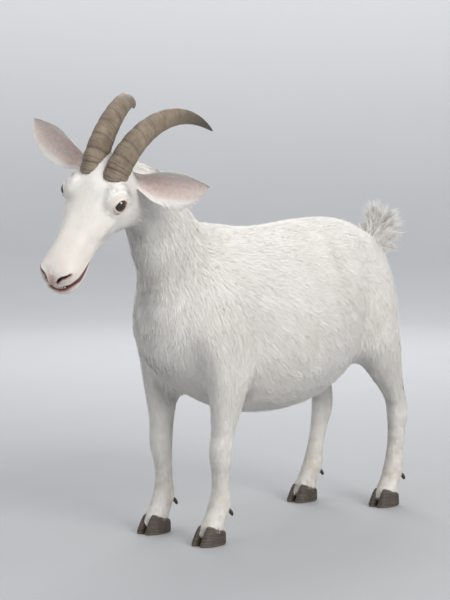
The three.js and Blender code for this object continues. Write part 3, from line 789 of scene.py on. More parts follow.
def eye_mesh(sign, centre):
    """An eyeball, with the place of each point round the way it looks kept for the iris."""
    angle = np.linspace(0, np.pi, 56)[1:-1, None]
    turn = turns(72)
    reach = eye_reach(angle)
    across, above = (reach * np.sin(angle) * part for part in (np.cos(turn), np.sin(turn)))
    local, faces = capped(np.stack([across, above, reach * np.cos(angle) + 0 * turn], 2)[::-1])
    local[-2:] = [0, 0, -EYE_RADIUS], [0, 0, eye_reach(0)]
    axes = eye_axes(sign)
    mesh = solid_mesh(f"eye_{sign}", centre + local @ axes, faces, sign < 0)
    level = unit(np.cross(axes[2], [0, 0, 1]))
    gaze = np.stack([level, np.cross(axes[2], level), axes[2]])
    store(mesh, "gaze", (local @ axes) @ gaze.T / EYE_RADIUS)
    return mesh


eye_finish = Finish("eye", Roughness=0.12, Coat_Weight=1.0, Coat_Roughness=0.015, IOR=1.38)
across, above, out = eye_finish.split(eye_finish.place(attribute="gaze"))
ring = (across * across + above * above) ** 0.5
IRIS_EDGE = math.sin(IRIS_REACH)
spokes = eye_finish.noise(30, eye_finish.place((0.35, 1.4, 1), "gaze"), 4)
iris = eye_finish.mix(spokes.rise(0.35, 0.7), IRIS_DARK, IRIS_BROWN)
iris = eye_finish.mix(ring.rise(IRIS_EDGE * 0.72, IRIS_EDGE), iris, IRIS_RIM)
white = eye_finish.mix(ring.rise(IRIS_EDGE, 0.97), BALL_BROWN, BALL_PALE)
ball = eye_finish.mix(ring.rise(IRIS_EDGE * 0.985, IRIS_EDGE * 1.03), iris, white)
slot = ((across / PUPIL[0]) ** 4 + (above / PUPIL[1]) ** 2) ** 0.5
eye_finish.paint("Base Color", eye_finish.mix(slot.rise(0.9, 1.12), PUPIL_BLACK, ball))

for side, sign in SIDES.items():
    eye = add_object(f"eyeball_{side}", eye_mesh(sign, np.array(EYES[side])), eye_finish)
    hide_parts(f"eye_{side}")
    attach(eye, "root")

# Each lid is one closed roll of hide round the opening, from its margin out to the brow and cheek.
OPENING = {"half": 5.2 * H, "above": 4.5 * H, "below": 3.9 * H}
LID_THICK = 0.0016
LID_GAP = 0.0001  # between a lid and the ball
LID_PROUD = 0.0003  # how far the bottom of a crease stays above the hide
LID_DIP = 0.0012  # how far the outer edge dips under the hide
LID_OVER = (0.1, 0.88)  # shares of a lid's width between which it lies over the hide
LID_REACH = (1.95, 2.0)  # how far the folds run out, as shares of the opening's width and height
LID_FOLDS = [(0.30, -1.2, -0.7), (0.62, 0.9, 0.5)]  # share of the width, and mm on the upper and lower lid


def squared_off(value, power):
    """A sine or cosine to a power, with its own sign. A power under 1 makes a ring squarer."""
    return np.sign(value) * np.abs(value) ** power


def reach_of_hide(hide, centre, ways):
    """How far the hide is from the middle of an eye, each way."""
    hits = [hide.ray_cast(Vector(centre), Vector(way)) for way in ways]
    return np.array([hit[3] if hit[0] else EYE_RADIUS for hit in hits])


def lid_mesh(sign, centre, hide):
    """The lids of an eye: rows from the margin out over brow and cheek, and back to it underneath."""
    axes = eye_axes(sign)
    turn = turns(120)
    upper = np.sin(turn) > 0
    half = np.where(upper, OPENING["above"], OPENING["below"])
    flat = np.stack([OPENING["half"] * np.cos(turn), half * squared_off(np.sin(turn), 1.35)], 1)
    rim_depth = (EYE_RADIUS + LID_THICK) ** 2 - (flat**2).sum(1)
    rim = unit(np.column_stack([flat, np.sqrt(np.maximum(rim_depth, (0.25 * EYE_RADIUS) ** 2))]))
    outer = []
    for across, above in flat * LID_REACH:
        start = centre + np.array([across, above, 0.06]) @ axes
        hit = hide.ray_cast(Vector(start), Vector(-axes[2]))[0]
        outer.append(unit((np.array(hit) - centre) @ axes.T))
    outer = np.array(outer)
    bare_ball = eye_reach(np.arccos(rim[:, 2]))
    rows = [rim * (bare_ball + LID_GAP)[:, None], rim * (bare_ball + LID_THICK)[:, None]]
    bare = [1.0, 0.8]
    for t in np.linspace(0.06, 1, 22):
        way = unit(rim * (1 - t) + outer * t)
        to_hide = reach_of_hide(hide, centre, way @ axes)
        over_ball = bare_ball + LID_THICK * (1 + 0.45 * min(t / 0.12, 1))
        share = smoothstep(0.1, 0.95, t)
        reach = (1 - share) * over_ball + share * to_hide
        if t > LID_OVER[0]:
            reach = np.maximum(reach, to_hide)
        fold = sum(np.where(upper, *height) * ridge(t, where, 0.11) for where, *height in LID_FOLDS)
        reach = reach + fold * MM * np.abs(np.sin(turn)) ** 0.5
        if LID_OVER[0] < t < LID_OVER[1]:
            reach = np.maximum(reach, to_hide + LID_PROUD)
        reach = reach - LID_DIP * smoothstep(LID_OVER[1], 1, t)
        rows.append(way * reach[:, None])
        bare.append(max(0.0, 0.55 - t * 4))
    rows.append(unit(rim * 0.3 + outer * 0.7) * EYE_RADIUS * 0.93)
    rows.append(rim * EYE_RADIUS * 0.98)
    bare += [0.0, 1.0]
    count, around = len(rows), len(turn)
    faces = ring_faces(count, around, closed=True)
    mesh = solid_mesh(f"lids_{sign}", centre + np.vstack(rows) @ axes, faces, sign > 0)
    store(mesh, "bare", np.repeat(bare, around))
    store(mesh, "short", np.ones(count * around))
    return mesh


hide_tree = tree_of(skin.data)
lids = {}
for side, sign in SIDES.items():
    lids[side] = add_object(f"lids_{side}", lid_mesh(sign, np.array(EYES[side]), hide_tree), hide_finish)
    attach(lids[side], "root")

# ---- Tongue and teeth ---------------------------------------------------------------------------
# The tongue lies on the lower jaw, wet and pink, with a furrow down its middle. Eight lower front
# teeth stand in an arch behind the lip. A goat has none above them, only a firm pad.

# Places and sizes are in hundredths of the head's length.
TONGUE_LINE = [(0, 66, -31.3), (0, 78, -32.1), (0, 87, -33.8), (0, 92.6, -35.2)]
TONGUE = {"half": 6.1, "high": 2.3, "furrow": 0.55}
TEETH = {"count": 8, "apart": 1.42, "arch": 0.075, "front": 95.3, "root": -37.6, "top": -32.7}
TOOTH = {"half": 0.7, "thick": 0.5, "lean": 0.6}
TONGUE_PINK, TONGUE_RED = (0.62, 0.30, 0.27), (0.50, 0.22, 0.20)
ENAMEL, STAINED = (0.82, 0.76, 0.62), (0.60, 0.48, 0.31)


def tongue_mesh():
    """The tongue, swept along the jaw with a furrowed ring."""
    line = H * curve_through(TONGUE_LINE, 70) * [1, -1, 1]
    t = np.linspace(0, 1, len(line))[:, None]
    angle = turns(56)[None, :]
    full = np.sqrt(1 - 0.97 * t**6)
    furrow = TONGUE["furrow"] * ridge(np.cos(angle), 0, 0.16) * (np.sin(angle) > 0) * full
    across = TONGUE["half"] * full * np.cos(angle)
    above = TONGUE["high"] * full * np.sin(angle) - furrow
    points, faces = swept(line, np.array([0, 0, 1.0]), H * np.stack([across, above], 2))
    return solid_mesh("tongue", POLL + points @ HEAD_AXES.T, faces)


def teeth_mesh():
    """All the teeth, each swept from its root up, leaning out along the arch."""
    points, faces = [], []
    t = np.linspace(0, 1, 14)[:, None]
    angle = turns(20)[None, :]
    for i in range(TEETH["count"]):
        side = (i - (TEETH["count"] - 1) / 2) * TEETH["apart"]
        smaller = 1 - 0.035 * abs(side)
        outward = unit(np.array([2 * TEETH["arch"] * side, -1, 0]))
        root = np.array([side, -(TEETH["front"] - TEETH["arch"] * side**2), TEETH["root"]])
        rise = outward * TOOTH["lean"] + [0, 0, (TEETH["top"] - TEETH["root"]) * smaller]
        crown = np.sqrt(1 - 0.9 * t**14)
        half = TOOTH["half"] * smaller * (0.72 + 0.28 * smoothstep(0.2, 0.8, t)) * crown
        thick = TOOTH["thick"] * (1 - 0.5 * t) * crown
        ring = [half * squared_off(np.cos(angle), 0.7), thick * squared_off(np.sin(angle), 0.7)]
        tooth, sides = swept(H * (root + rise * t), outward, H * np.stack(ring, 2))
        faces += [tuple(corner + len(points) * len(tooth) for corner in face) for face in sides]
        points.append(tooth)
    return solid_mesh("teeth", POLL + np.vstack(points) @ HEAD_AXES.T, faces)


tongue_finish = Finish("tongue", Specular_IOR_Level=0.5, Coat_Weight=0.35, Coat_Roughness=0.2)
pores = tongue_finish.noise(1400, tongue_finish.place(), 2)
blush = tongue_finish.noise(120, tongue_finish.place(), 3)
tongue_finish.paint("Base Color", tongue_finish.mix(blush, TONGUE_PINK, TONGUE_RED))
tongue_finish.paint("Roughness", 0.35 + pores * 0.2)
tongue_finish.bump(pores, 0.0005, 0.6)

tooth_finish = Finish("tooth", Roughness=0.28, Specular_IOR_Level=0.5)
stain = tooth_finish.noise(300, tooth_finish.place((1, 1, 0.4)), 3)
tooth_finish.paint("Base Color", tooth_finish.mix(stain.rise(0.4, 0.75), ENAMEL, STAINED))

for name, mesh, finish in (
    ("tongue", tongue_mesh(), tongue_finish),
    ("teeth", teeth_mesh(), tooth_finish),
):
    inner = add_object(name, mesh, finish)
    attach(inner, "root")

# ---- Horns --------------------------------------------------------------------------------------
# Each horn is a sheath of keratin over a bony core. It grows from the root in yearly rings that stand
# out as ridges, keeled in front, and is worn smooth and dark towards the tip.

# Where a horn is rooted, half its thickness there, and its yearly rings. It sets out upwards at an angle
# in degrees, bends over to another, and spreads outwards as it goes.
HORN = {"side": 8.4, "forward": 19.6, "height": -6, "root": 10.8, "ridges": 11}
HORN_BEND = {"rise": 44, "fall": -72, "ease": 0.72, "apart": 0.08, "spread": 0.24}
HORN_LENGTH = 0.290
HORN_RINGS, HORN_AROUND = 420, 72
RIDGE_DEPTH = 0.085  # of the yearly rings, as a share of the horn's thickness
GROWTH_DEPTH = 0.009  # of the fine rings between them
GRAIN_DEPTH = 0.002  # of the fibres along it
HORN_BROWN, HORN_GREY = (0.165, 0.126, 0.090), (0.270, 0.216, 0.156)
HORN_BAND = (0.085, 0.064, 0.046)
HORN_HOLLOW = (0.048, 0.037, 0.028)
HORN_TIP = (0.030, 0.025, 0.022)


def rounded(angle, half, above, below, round_above, round_below):
    """An oval ring across and above a line, squarer where its roundness is more than 2."""
    top = np.sin(angle) > 0
    power = np.where(top, 2 / round_above, 2 / round_below)
    high = np.where(top, above, below) * squared_off(np.sin(angle), power)
    return np.stack([half * squared_off(np.cos(angle), power), high], 2)


def horn_line():
    """The middle of the left horn, from its root, in the head's axes."""
    steps = 200
    t = (np.arange(steps) + 0.5) / steps
    turned = HORN_BEND["fall"] - HORN_BEND["rise"]
    heading = np.radians(HORN_BEND["rise"] + turned * t ** HORN_BEND["ease"])
    outwards = HORN_BEND["apart"] + HORN_BEND["spread"] * t
    way = unit(np.stack([outwards, np.cos(heading), np.sin(heading)], 1))
    root = H * np.array([HORN["side"], -HORN["forward"], HORN["height"]])
    line = np.vstack([root, root + np.cumsum(way, 0) * HORN_LENGTH / steps])
    at, t = np.linspace(0, 1, HORN_RINGS), np.linspace(0, 1, steps + 1)
    return np.stack([np.interp(at, t, line[:, k]) for k in range(3)], 1)


def horn_mesh(sign):
    """A horn, with what its finish needs: how far along, how hollow, and round and along the grain."""
    t = np.linspace(0, 1, HORN_RINGS)
    angle = turns(HORN_AROUND)[None, :]
    lean = 0.35 * np.sin(angle - 0.4)
    year = (t[:, None] ** 0.8 * HORN["ridges"] + 0.05 * lean) % 1
    yearly = np.abs(np.sin(np.pi * (year + 0.02 * np.sin(5 * angle)))) ** 0.7 - 0.62
    front = 0.55 + 0.45 * np.clip(np.sin(angle), 0, 1)
    growth = np.sin(t[:, None] * 520 + 1.3 * np.sin(3 * angle)) + np.sin(t[:, None] * 337 + 2 * lean)
    grain = np.sin(23 * angle + 3 * np.sin(t[:, None] * 9)) + 0.6 * np.sin(37 * angle + 7 * t[:, None])
    worn = (1 - t[:, None]) ** 0.8
    swell = 1 + worn * (RIDGE_DEPTH * yearly * front + GROWTH_DEPTH * growth) + GRAIN_DEPTH * grain
    taper = ((1 - t**1.4) ** 0.8 + 0.05)[:, None]
    deep = HORN["root"] * H * taper * swell * np.sqrt(1 - 0.97 * t[:, None] ** 60)
    rings = rounded(angle, deep * 0.72, deep * 1.06, deep * 0.94, 1.7, 2.2)
    points, faces = swept(horn_line(), np.array([0, -0.3, 1.0]), rings)
    points = POLL + (points * [sign, 1, 1]) @ HEAD_AXES.T
    mesh = solid_mesh(f"horn_{sign}", points, faces, sign < 0)
    along = np.repeat(t, HORN_AROUND)
    store(mesh, "along", np.concatenate([along, [0, 1]]))
    store(mesh, "hollow", np.concatenate([(-yearly * worn + 0 * angle).ravel(), [0, 0]]))
    turn = np.broadcast_to(angle, (HORN_RINGS, HORN_AROUND)).ravel()
    grow = np.stack([np.cos(turn), np.sin(turn), along * 2], 1)
    store(mesh, "grow", np.vstack([grow, [[0, 0, 0], [0, 0, 2]]]))
    return mesh


horn_finish = Finish("horn", Specular_IOR_Level=0.45)
along = horn_finish.attribute("along")
streak = horn_finish.noise(45, horn_finish.place(), 5, 0.6)
band = horn_finish.noise(3, horn_finish.place((0.25, 0.25, 8), "grow"), 3)
sheath = horn_finish.mix(streak.rise(0.3, 0.72), HORN_BROWN, HORN_GREY)
sheath = horn_finish.mix(band.rise(0.42, 0.75) * 0.4, sheath, HORN_BAND)
sheath = horn_finish.mix(horn_finish.attribute("hollow").rise(0.05, 0.6) * 0.6, sheath, HORN_HOLLOW)
sheath = horn_finish.mix(along.rise(0.45, 1.0) * 0.85, sheath, HORN_TIP)
horn_finish.paint("Base Color", sheath)
horn_finish.paint("Roughness", 0.62 - along.rise(0.3, 1) * 0.24 + streak * 0.1)
horn_finish.bump(streak * 0.3 + band, 0.0005, 0.45)

for side, sign in SIDES.items():
    horn = add_object(f"sheath_{side}", horn_mesh(sign), horn_finish)
    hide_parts(f"horn_{side}")
    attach(horn, "root")

# ---- Hooves -------------------------------------------------------------------------------------
# Each foot has two claws of dark horn, flat below, with fine growth rings round the wall and a waxy
# softer band under the hair. Two small dewclaws hang behind each fetlock.

CORONET_SLOPE = 0.32  # how much higher a claw's top is towards the toe
# Half a claw's length, how far it goes out and in from its middle line, and how far its sole is ahead of
# its top, in hundredths of the withers height. It is a little smaller than its solid.
CLAW = {"half": 5.4, "outer": 2.9, "inner": 1.2, "lean": 1.9, "inside": 0.985}
SOLID_TOP, SOLID_WIDEST = 0.74, 0.1  # how wide the solid is at its top, and the level where it is widest
CLAW_WALL = [  # share of a claw's height, and how wide it is there
    (0, 0.93),
    (0.04, 0.985),
    (0.1, 1.0),
    (0.3, 0.955),
    (0.55, 0.88),
    (0.8, 0.79),
    (0.93, 0.72),
    (1, 0.64),
]
CLAW_RINGS, CLAW_AROUND = 46, 84
CLAW_GROOVE = 0.009  # depth of its growth rings, as a share of its width
HOOF_DARK, HOOF_BROWN = (0.040, 0.031, 0.025), (0.095, 0.073, 0.056)
HOOF_RING = (0.150, 0.120, 0.092)
HOOF_BAND = (0.190, 0.145, 0.110)
HOOF_SOLE = (0.200, 0.170, 0.135)


def claw_mesh(name, outward):
    """A claw inside its own solid. Outward is 1 where its outer side faces the goat's left."""
    low, high = (np.array(corner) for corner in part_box(name))
    top_centre = low[1] + (CLAW["half"] + CLAW["lean"] * (1 - SOLID_WIDEST)) * B
    coronet = high[2] - CORONET_SLOPE * SOLID_TOP * CLAW["half"] * B
    inner_face = low[0] if outward > 0 else high[0]
    level = np.linspace(0, 1, CLAW_RINGS)[:, None]
    spread = track(CLAW_WALL, level[:, 0]) * CLAW["inside"]
    angle = turns(CLAW_AROUND)[None, :]
    ahead, lateral = -np.sin(angle), np.cos(angle) * outward
    half = CLAW["half"] * B * spread
    wide = np.where(lateral > 0, CLAW["outer"], CLAW["inner"]) * B * spread
    toe = np.where(ahead > 0, 1 - 0.25 * ahead**2, 1)
    rings = np.sin(level * 46 + 0.8 * np.sin(2 * angle)) + 0.6 * np.sin(level * 71 + 1.1 * np.sin(3 * angle))
    bulge = 1 + CLAW_GROOVE * rings * smoothstep(0.02, 0.1, level)
    across = squared_off(lateral, 0.8) * wide * toe * bulge
    x = inner_face + outward * CLAW["inner"] * B + outward * across
    ahead_of_leg = half * squared_off(ahead, 0.9) * bulge + CLAW["lean"] * B * (1 - level)
    z = level * (coronet + CORONET_SLOPE * ahead_of_leg)
    mesh = solid_mesh(name, *capped(np.stack([x, top_centre - ahead_of_leg, z], 2)))
    store(mesh, "level", np.concatenate([np.repeat(level[:, 0], CLAW_AROUND), [0, 1]]))
    return mesh


hoof_finish = Finish("hoof", Specular_IOR_Level=0.4)
level = hoof_finish.attribute("level")
growth = hoof_finish.noise(1, hoof_finish.place((25, 25, 700)), 2)
drip = hoof_finish.noise(1, hoof_finish.place((160, 160, 30)), 3)
wall = hoof_finish.mix(drip.rise(0.3, 0.75) * 0.6, HOOF_DARK, HOOF_BROWN)
wall = hoof_finish.mix(growth.rise(0.45, 0.65) * 0.4, wall, HOOF_RING)
wall = hoof_finish.mix(level.rise(0.86, 0.99) * 0.7, wall, HOOF_BAND)
wall = hoof_finish.mix((1 - level.rise(0.0, 0.16)) * 0.55, wall, HOOF_SOLE)
hoof_finish.paint("Base Color", wall)
hoof_finish.paint("Roughness", 0.5 + growth * 0.2)
hoof_finish.bump(growth + drip * 0.2, 0.0004, 0.5)

# A dewclaw is a blunt cone, squeezed flat, that points down and back.
DEWCLAW_AROUND = 28


def dewclaw_mesh(name):
    low, high = (np.array(corner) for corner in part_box(name))
    size = high - low
    t = np.linspace(0, 1, 26)
    root = np.array([(low[0] + high[0]) / 2, low[1] + size[1] * 0.15, high[2] - size[2] * 0.25])
    tip = np.array([root[0], high[1] - size[1] * 0.3, low[2] + size[2] * 0.12])
    line = root + (tip - root) * t[:, None]
    line[:, 1] += size[1] * 0.12 * np.sin(np.pi * t)
    angle = turns(DEWCLAW_AROUND)[None, :]
    blunt = np.sqrt(np.clip(1 - (t / 1.02) ** 5, 0, 1))[:, None] * (1 - 0.25 * t[:, None])
    blunt = blunt * (1 + 0.03 * np.sin(t[:, None] * 34 + 0 * angle))
    half = size[0] * 0.47 * blunt
    rings = np.stack([half * np.cos(angle), half * 0.72 * np.sin(angle)], 2)
    mesh = solid_mesh(name, *swept(line, np.array([0, 1.0, 0.4]), rings))
    store(mesh, "level", np.concatenate([np.repeat(0.8 - 0.5 * t, DEWCLAW_AROUND), [0.8, 0.3]]))
    return mesh


claw_build = bmesh.new()
for leg in LEGS:
    sign = SIDES[leg.split("_")[1]]
    for where, outward in (("outer", sign), ("inner", -sign)):
        claw, dewclaw = f"claw_{leg}_{where}", f"dewclaw_{leg}_{where}"
        for name, mesh in ((claw, claw_mesh(claw, outward)), (dewclaw, dewclaw_mesh(dewclaw))):
            claw_build.from_mesh(mesh)
            horny = add_object(f"{name}_horn", mesh, hoof_finish)
            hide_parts(name)
            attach(horny, "root")
claw_tree = BVHTree.FromBMesh(claw_build)
claw_build.free()

# The foot is drawn in where it goes down inside the horn.
FOOT_TOP = 12  # above this height no hide is near the hooves
WALL_THICK = 0.0018
points = read_points(skin.data)
for i in np.flatnonzero(body_places(points)[:, 2] < FOOT_TOP):
    nearest, outward, _, _ = claw_tree.find_nearest(points[i])
    offset = Vector(points[i]) - nearest
    proud = offset.dot(outward) + WALL_THICK
    if proud > 0 and abs(outward.z) < 0.5 and offset.z < 0.3 * proud:
        points[i] -= np.array(outward) * proud
write_points(skin.data, points)

# ---- Coat ---------------------------------------------------------------------------------------
# The goat's hair is short and white: a finger's breadth on the trunk and neck, a few millimetres on
# the face, ears and feet. It grows in fine flat tufts that overlap and lie back along the body.

# Where on the body, which way the hair lies, how long it is in millimetres, and how far that holds.
BODY_COAT = [
    ((0, 66, 112), (0, -0.7, -0.7), 20, 9),
    ((9, 58, 100), (0.1, -0.5, -0.85), 21, 10),
    ((0, 60, 88), (0, -0.1, -1), 23, 10),
    ((0, 56, 68), (0, -0.15, -1), 24, 10),
    ((15, 44, 74), (0.1, -0.35, -0.95), 20, 10),
    ((0, 25, 103), (0, -1, 0), 22, 12),
    ((20, 25, 85), (0, -0.8, -0.6), 20, 11),
    ((22, 5, 75), (0, -0.85, -0.5), 21, 14),
    ((22, 0, 55), (0, -0.8, -0.6), 22, 14),
    ((0, 5, 40), (0, -1, 0), 24, 14),
    ((0, -20, 101), (0, -1, 0), 20, 14),
    ((18, -28, 85), (0, -0.75, -0.65), 19, 11),
    ((17, -40, 70), (0, -0.35, -0.95), 18, 12),
    ((10, -55, 70), (0, 0.1, -1), 19, 10),
    ((6, -55, 90), (0.3, -0.5, -0.85), 17, 8),
    ((0, -50, 97), (0, -1, -0.3), 18, 8),
    ((14, 36, 50), (0, -0.15, -1), 15, 10),
    ((14, 36, 30), (0, -0.1, -1), 9, 10),
    ((14, 37, 14), (0, -0.1, -1), 7, 10),
    ((14, 39, 5), (0, 0.25, -1), 11, 3),
    ((14, -45, 50), (0, -0.15, -1), 14, 10),
    ((14, -52, 30), (0, -0.1, -1), 9, 10),
    ((14, -48, 14), (0, -0.1, -1), 7, 10),
    ((14, -46, 5), (0, 0.25, -1), 11, 3),
    ((14, -37, 5), (0, 0.25, -1), 11, 3),
]
HEAD_COAT = [
    ((0, 99, -24), (0, -0.5, 0.85), 2.6, 5),
    ((0, 82, -12), (0, -1, 0), 4.2, 9),
    ((0, 57, -5), (0, -1, 0.1), 5.6, 11),
    ((0, 33, 5), (0, -1, 0.2), 7.5, 9),
    ((6, 12, 4), (0.2, -1, 0.3), 12, 6),
    ((13, 76, -21), (0.05, -1, -0.1), 4.4, 8),
    ((16, 56, -22), (0.05, -1, -0.1), 5.8, 10),
    ((20, 36, -20), (0.1, -1, -0.2), 6.5, 8),
    ((20, 16, -28), (0.1, -0.9, -0.4), 8.5, 11),
    ((15, 8, -45), (0, -1, -0.3), 13, 10),
    ((0, 30, -50), (0, -1, -0.1), 12, 11),
    ((0, 68, -40), (0, -1, 0), 7.5, 10),
    ((0, 92, -37), (0, -1, -0.2), 5.5, 6),
    ((11, 86, -33), (0, -1, -0.1), 4, 6),
    ((21, 6, -10), (0.7, -0.6, 0.1), 8, 6),
    ((0, -6, -10), (0, -1, -0.2), 16, 9),
]
EAR_HAIR = 6.2  # millimetres
LID_HAIR = 0.0026
LID_COVER = (0.018, 0.021)  # the hide's hair starts this far from an eye's middle, outside the lids
EYE_PARTING = (0.018, 0.029)  # from this near an eye's middle to this far, the hair turns away from it
AWAY_FROM_EYE = 1.3  # how strongly it turns
RISE = 0.17  # how far a tuft stands off the hide, as a share of its length
WANDER = 0.2  # how far the lie strays, in radians
TUFT_MOST = 95  # tufts in a square centimetre where they are smallest
TUFT_WIDTH = (0.0003, 0.034)  # of the shortest hair, and how much is added as a share of the length
LAYERS = (1.5, 62)  # of the shortest hair that overlap, and how many more for a metre of length
SEED = 7  # of the random draws
FOOT_HAIR = (0.014, 0.018)  # the lowest hair on a foot is rooted between these heights
TUFT_WHITE, TUFT_SHADED = (0.90, 0.885, 0.855), (0.60, 0.54, 0.47)

controls = []
for rows, place_of, axes, size in (
    (BODY_COAT, on_body, np.eye(3), B),
    (HEAD_COAT, on_head, HEAD_AXES, H),
):
    for (side, forward, height), heading, length, holds in rows:
        for sign in {1, -1 if side else 1}:
            way = axes @ unit(np.array([sign * heading[0], -heading[1], heading[2]]))
            controls.append((place_of(sign * side, forward, height), way, length, holds * size))
for sign in SIDES.values():
    ear_line = ear_places(sign, curve_through(EAR_LINE, 9))
    for knot, along in zip(ear_line, np.gradient(ear_line, axis=0)):
        controls.append((on_head(*knot), HEAD_AXES @ unit(along * [1, -1, 1]), EAR_HAIR, 7 * H))


def lie_and_length(points):
    """Which way the hair lies at each point, and how long it is, in metres.

    Every place of the tables also has a faint, four times wider reach, so that no point is left out.
    """
    total = np.full(len(points), 1e-9)
    way = np.zeros_like(points)
    length = np.zeros(len(points))
    for centre, heading, hair, holds in controls:
        away = ((points - centre) ** 2).sum(1) / holds**2
        weight = np.exp(-away) + 1e-6 * np.exp(-away / 4**2)
        total += weight
        way += weight[:, None] * heading
        length += weight * hair
    way = unit(way)
    for centre in EYES.values():
        off = points - np.array(centre)
        near_eye = 1 - smoothstep(*EYE_PARTING, np.linalg.norm(off, axis=1))
        way = way + AWAY_FROM_EYE * near_eye[:, None] * unit(off)
    return unit(way), length / total * MM


def swirl(points, size, rng):
    """A soft random number from -1 to 1 at each point, alike for neighbours closer than size."""
    waves = rng.normal(size=(6, 3)) * 2 / size
    return np.sin(points @ waves.T + rng.uniform(0, 6, 6)).sum(1) / 3


def inside_claws(points):
    """Which points are inside the horn of a hoof."""
    inside = np.zeros(len(points), bool)
    for i in np.flatnonzero(body_places(points)[:, 2] < FOOT_TOP):
        nearest, outward, _, _ = claw_tree.find_nearest(points[i])
        inside[i] = (Vector(points[i]) - nearest).dot(outward) < 0
    return inside


def scattered(mesh, density, fields, rng):
    """Random places on a mesh: each one's root, normal, the values of its fields, and its corner."""
    mesh.calc_loop_triangles()
    corners = read_rows(mesh.loop_triangles, "vertices", 3, np.int32)
    points, normals = read_points(mesh), read_normals(mesh)
    a, b, c = points[corners].transpose(1, 0, 2)
    area = np.linalg.norm(np.cross(b - a, c - a), axis=1) / 2
    expected = area * density[corners].mean(1)
    count = np.floor(expected + rng.random(len(expected))).astype(int)
    chosen = np.repeat(np.arange(len(count)), count)
    u, v = rng.random((2, len(chosen)))
    over = u + v > 1
    u[over], v[over] = 1 - u[over], 1 - v[over]
    share = np.stack([1 - u - v, u, v], 1)
    at = corners[chosen]

    def blend(values):
        return (share[..., None] * values[at]).sum(1)

    return blend(points), unit(blend(normals)), blend(fields), at[:, 0]


# A tuft is a closed sliver with a ridge from its root, under the hide, to its tip. It is widest near its
# middle, at its left and right edges. Its last two faces are its underside, which has points of its
# own, so that light falls on the two sides apart.
TUFT_FACES = np.array([(0, 3, 1), (0, 2, 3), (4, 5, 6), (6, 5, 7)])
TUFT_ROOT_DEPTH = 0.0006
TUFT_THICK = 0.3  # as a share of its width
PATCH = 0.003  # width of a tuft in its piece's unwrapping, whose own width is 1


def coat_mesh(name, roots, normals, way, length, width, rise, bend, short, place, rng):
    """A piece of the coat, with a tuft at each root."""
    count = len(roots)
    side = unit(np.cross(way, normals))
    bow = rng.normal(0, 0.07, count)
    middle = rng.uniform(0.3, 0.5, count)

    def at(share, up):
        stray = side * (bow * share**2 * length)[:, None]
        return roots + way * (length * share)[:, None] + normals * up[:, None] + stray

    under_ridge = (rise + TUFT_ROOT_DEPTH) * middle - TUFT_ROOT_DEPTH - width * TUFT_THICK
    waist, tip = at(middle, under_ridge + bend * middle**2), at(np.ones(count), rise + bend)
    half = side * (width / 2)[:, None]
    points = np.stack([roots - normals * TUFT_ROOT_DEPTH, waist - half, waist + half, tip], 1)
    points = np.hstack([points, points])
    shade = np.stack([normals, normals - side * 0.5, normals + side * 0.5, normals + way * 0.3], 1)
    shade = np.hstack([shade, -shade])
    per = points.shape[1]
    faces = (TUFT_FACES[None] + per * np.arange(count)[:, None, None]).reshape(-1, 3)
    mesh = bpy.data.meshes.new(name)
    mesh.vertices.add(count * per)
    mesh.vertices.foreach_set("co", points.astype(np.float32).ravel())
    mesh.loops.add(faces.size)
    mesh.loops.foreach_set("vertex_index", faces.astype(np.int32).ravel())
    mesh.polygons.add(len(faces))
    mesh.polygons.foreach_set("loop_start", np.arange(0, faces.size, 3, dtype=np.int32))
    mesh.update(calc_edges=True)
    mesh.shade_smooth()
    store(mesh, "custom_normal", unit(shade).reshape(-1, 3))
    # The tip share runs from root to tip. The coat's material uses it to paint each tuft darker towards its
    # root, and its underside a little more, as painted shade.
    store(mesh, "tip", np.tile([0, 0.5, 0.5, 1, 0, 0.4, 0.4, 1], count))
    tone = 0.5 * rng.random(count) + 0.25 + 0.25 * swirl(roots, 0.02, rng)
    store(mesh, "tone", np.repeat(tone, per))
    store(mesh, "short", np.repeat(short, per))
    corner = np.array([(0, -1), (-1, 0), (1, 0), (0, 1)] * 2) * PATCH / 2
    patch = (PATCH + place * (1 - 2 * PATCH))[:, None] + corner
    layer = mesh.uv_layers.new(name="OFBake")
    layer.data.foreach_set("uv", patch.reshape(-1, 2)[faces.ravel()].astype(np.float32).ravel())
    return mesh


coat_finish = Finish("coat", Roughness=0.72, Specular_IOR_Level=0.3)
tone = coat_finish.attribute("tone")
tip = coat_finish.attribute("tip")
strand = coat_finish.mix(tone * 0.6, hair_colour(coat_finish), TUFT_WHITE)
vary = 0.12 + coat_finish.attribute("short") * 0.26
# Each tuft is darkened towards TUFT_SHADED by its random tone, and by painted shade towards its root and on
# its underside.
strand = coat_finish.mix((2 - tone - tip) * vary, strand, TUFT_SHADED)
coat_finish.paint("Base Color", strand)


def unwrapped(label, points):
    """Round and along the part that a point belongs to, each from 0 to 1: the hide cut and rolled out."""
    kind = label.split("_")[0]
    if kind in ("head", "ear"):
        axis = HEAD_AXES @ (unit(np.array([1.0, 0, 0])) if kind == "ear" else np.array([0, -1.0, 0]))
    else:
        axis = {"trunk": (0, -1.0, 0), "neck": (0, -0.58, 0.81)}.get(kind, (0, 0, 1.0))
    axis = np.array(axis)
    across = unit(np.cross(axis, HEAD_AXES[:, 2] if kind in ("head", "ear") else [0.0, 1.0, 0.1]))
    rel = points - (points.min(0) + points.max(0)) / 2
    angle = np.arctan2(rel @ np.cross(axis, across), rel @ across)
    along = rel @ axis
    share = (along - along.min()) / np.ptp(along)
    return np.stack([angle / (2 * np.pi) + 0.5, share], 1)


def tuft_width(length):
    return TUFT_WIDTH[0] + TUFT_WIDTH[1] * length


def density_of(length, bare):
    """Tufts in a square metre. They lie in more layers where the hair is longer."""
    layers = LAYERS[0] + LAYERS[1] * length
    density = layers / (0.5 * length * tuft_width(length))
    return np.minimum(density, TUFT_MOST * 1e4) * (1 - smoothstep(0.1, 0.5, bare))


SHORT_HAIR = (0.003, 0.0085)  # lengths at which the hide shows most and not at all
BEND_FROM = 0.006  # shorter hair stays straight
BEND_MOST = 0.3  # as a share of the tuft's length


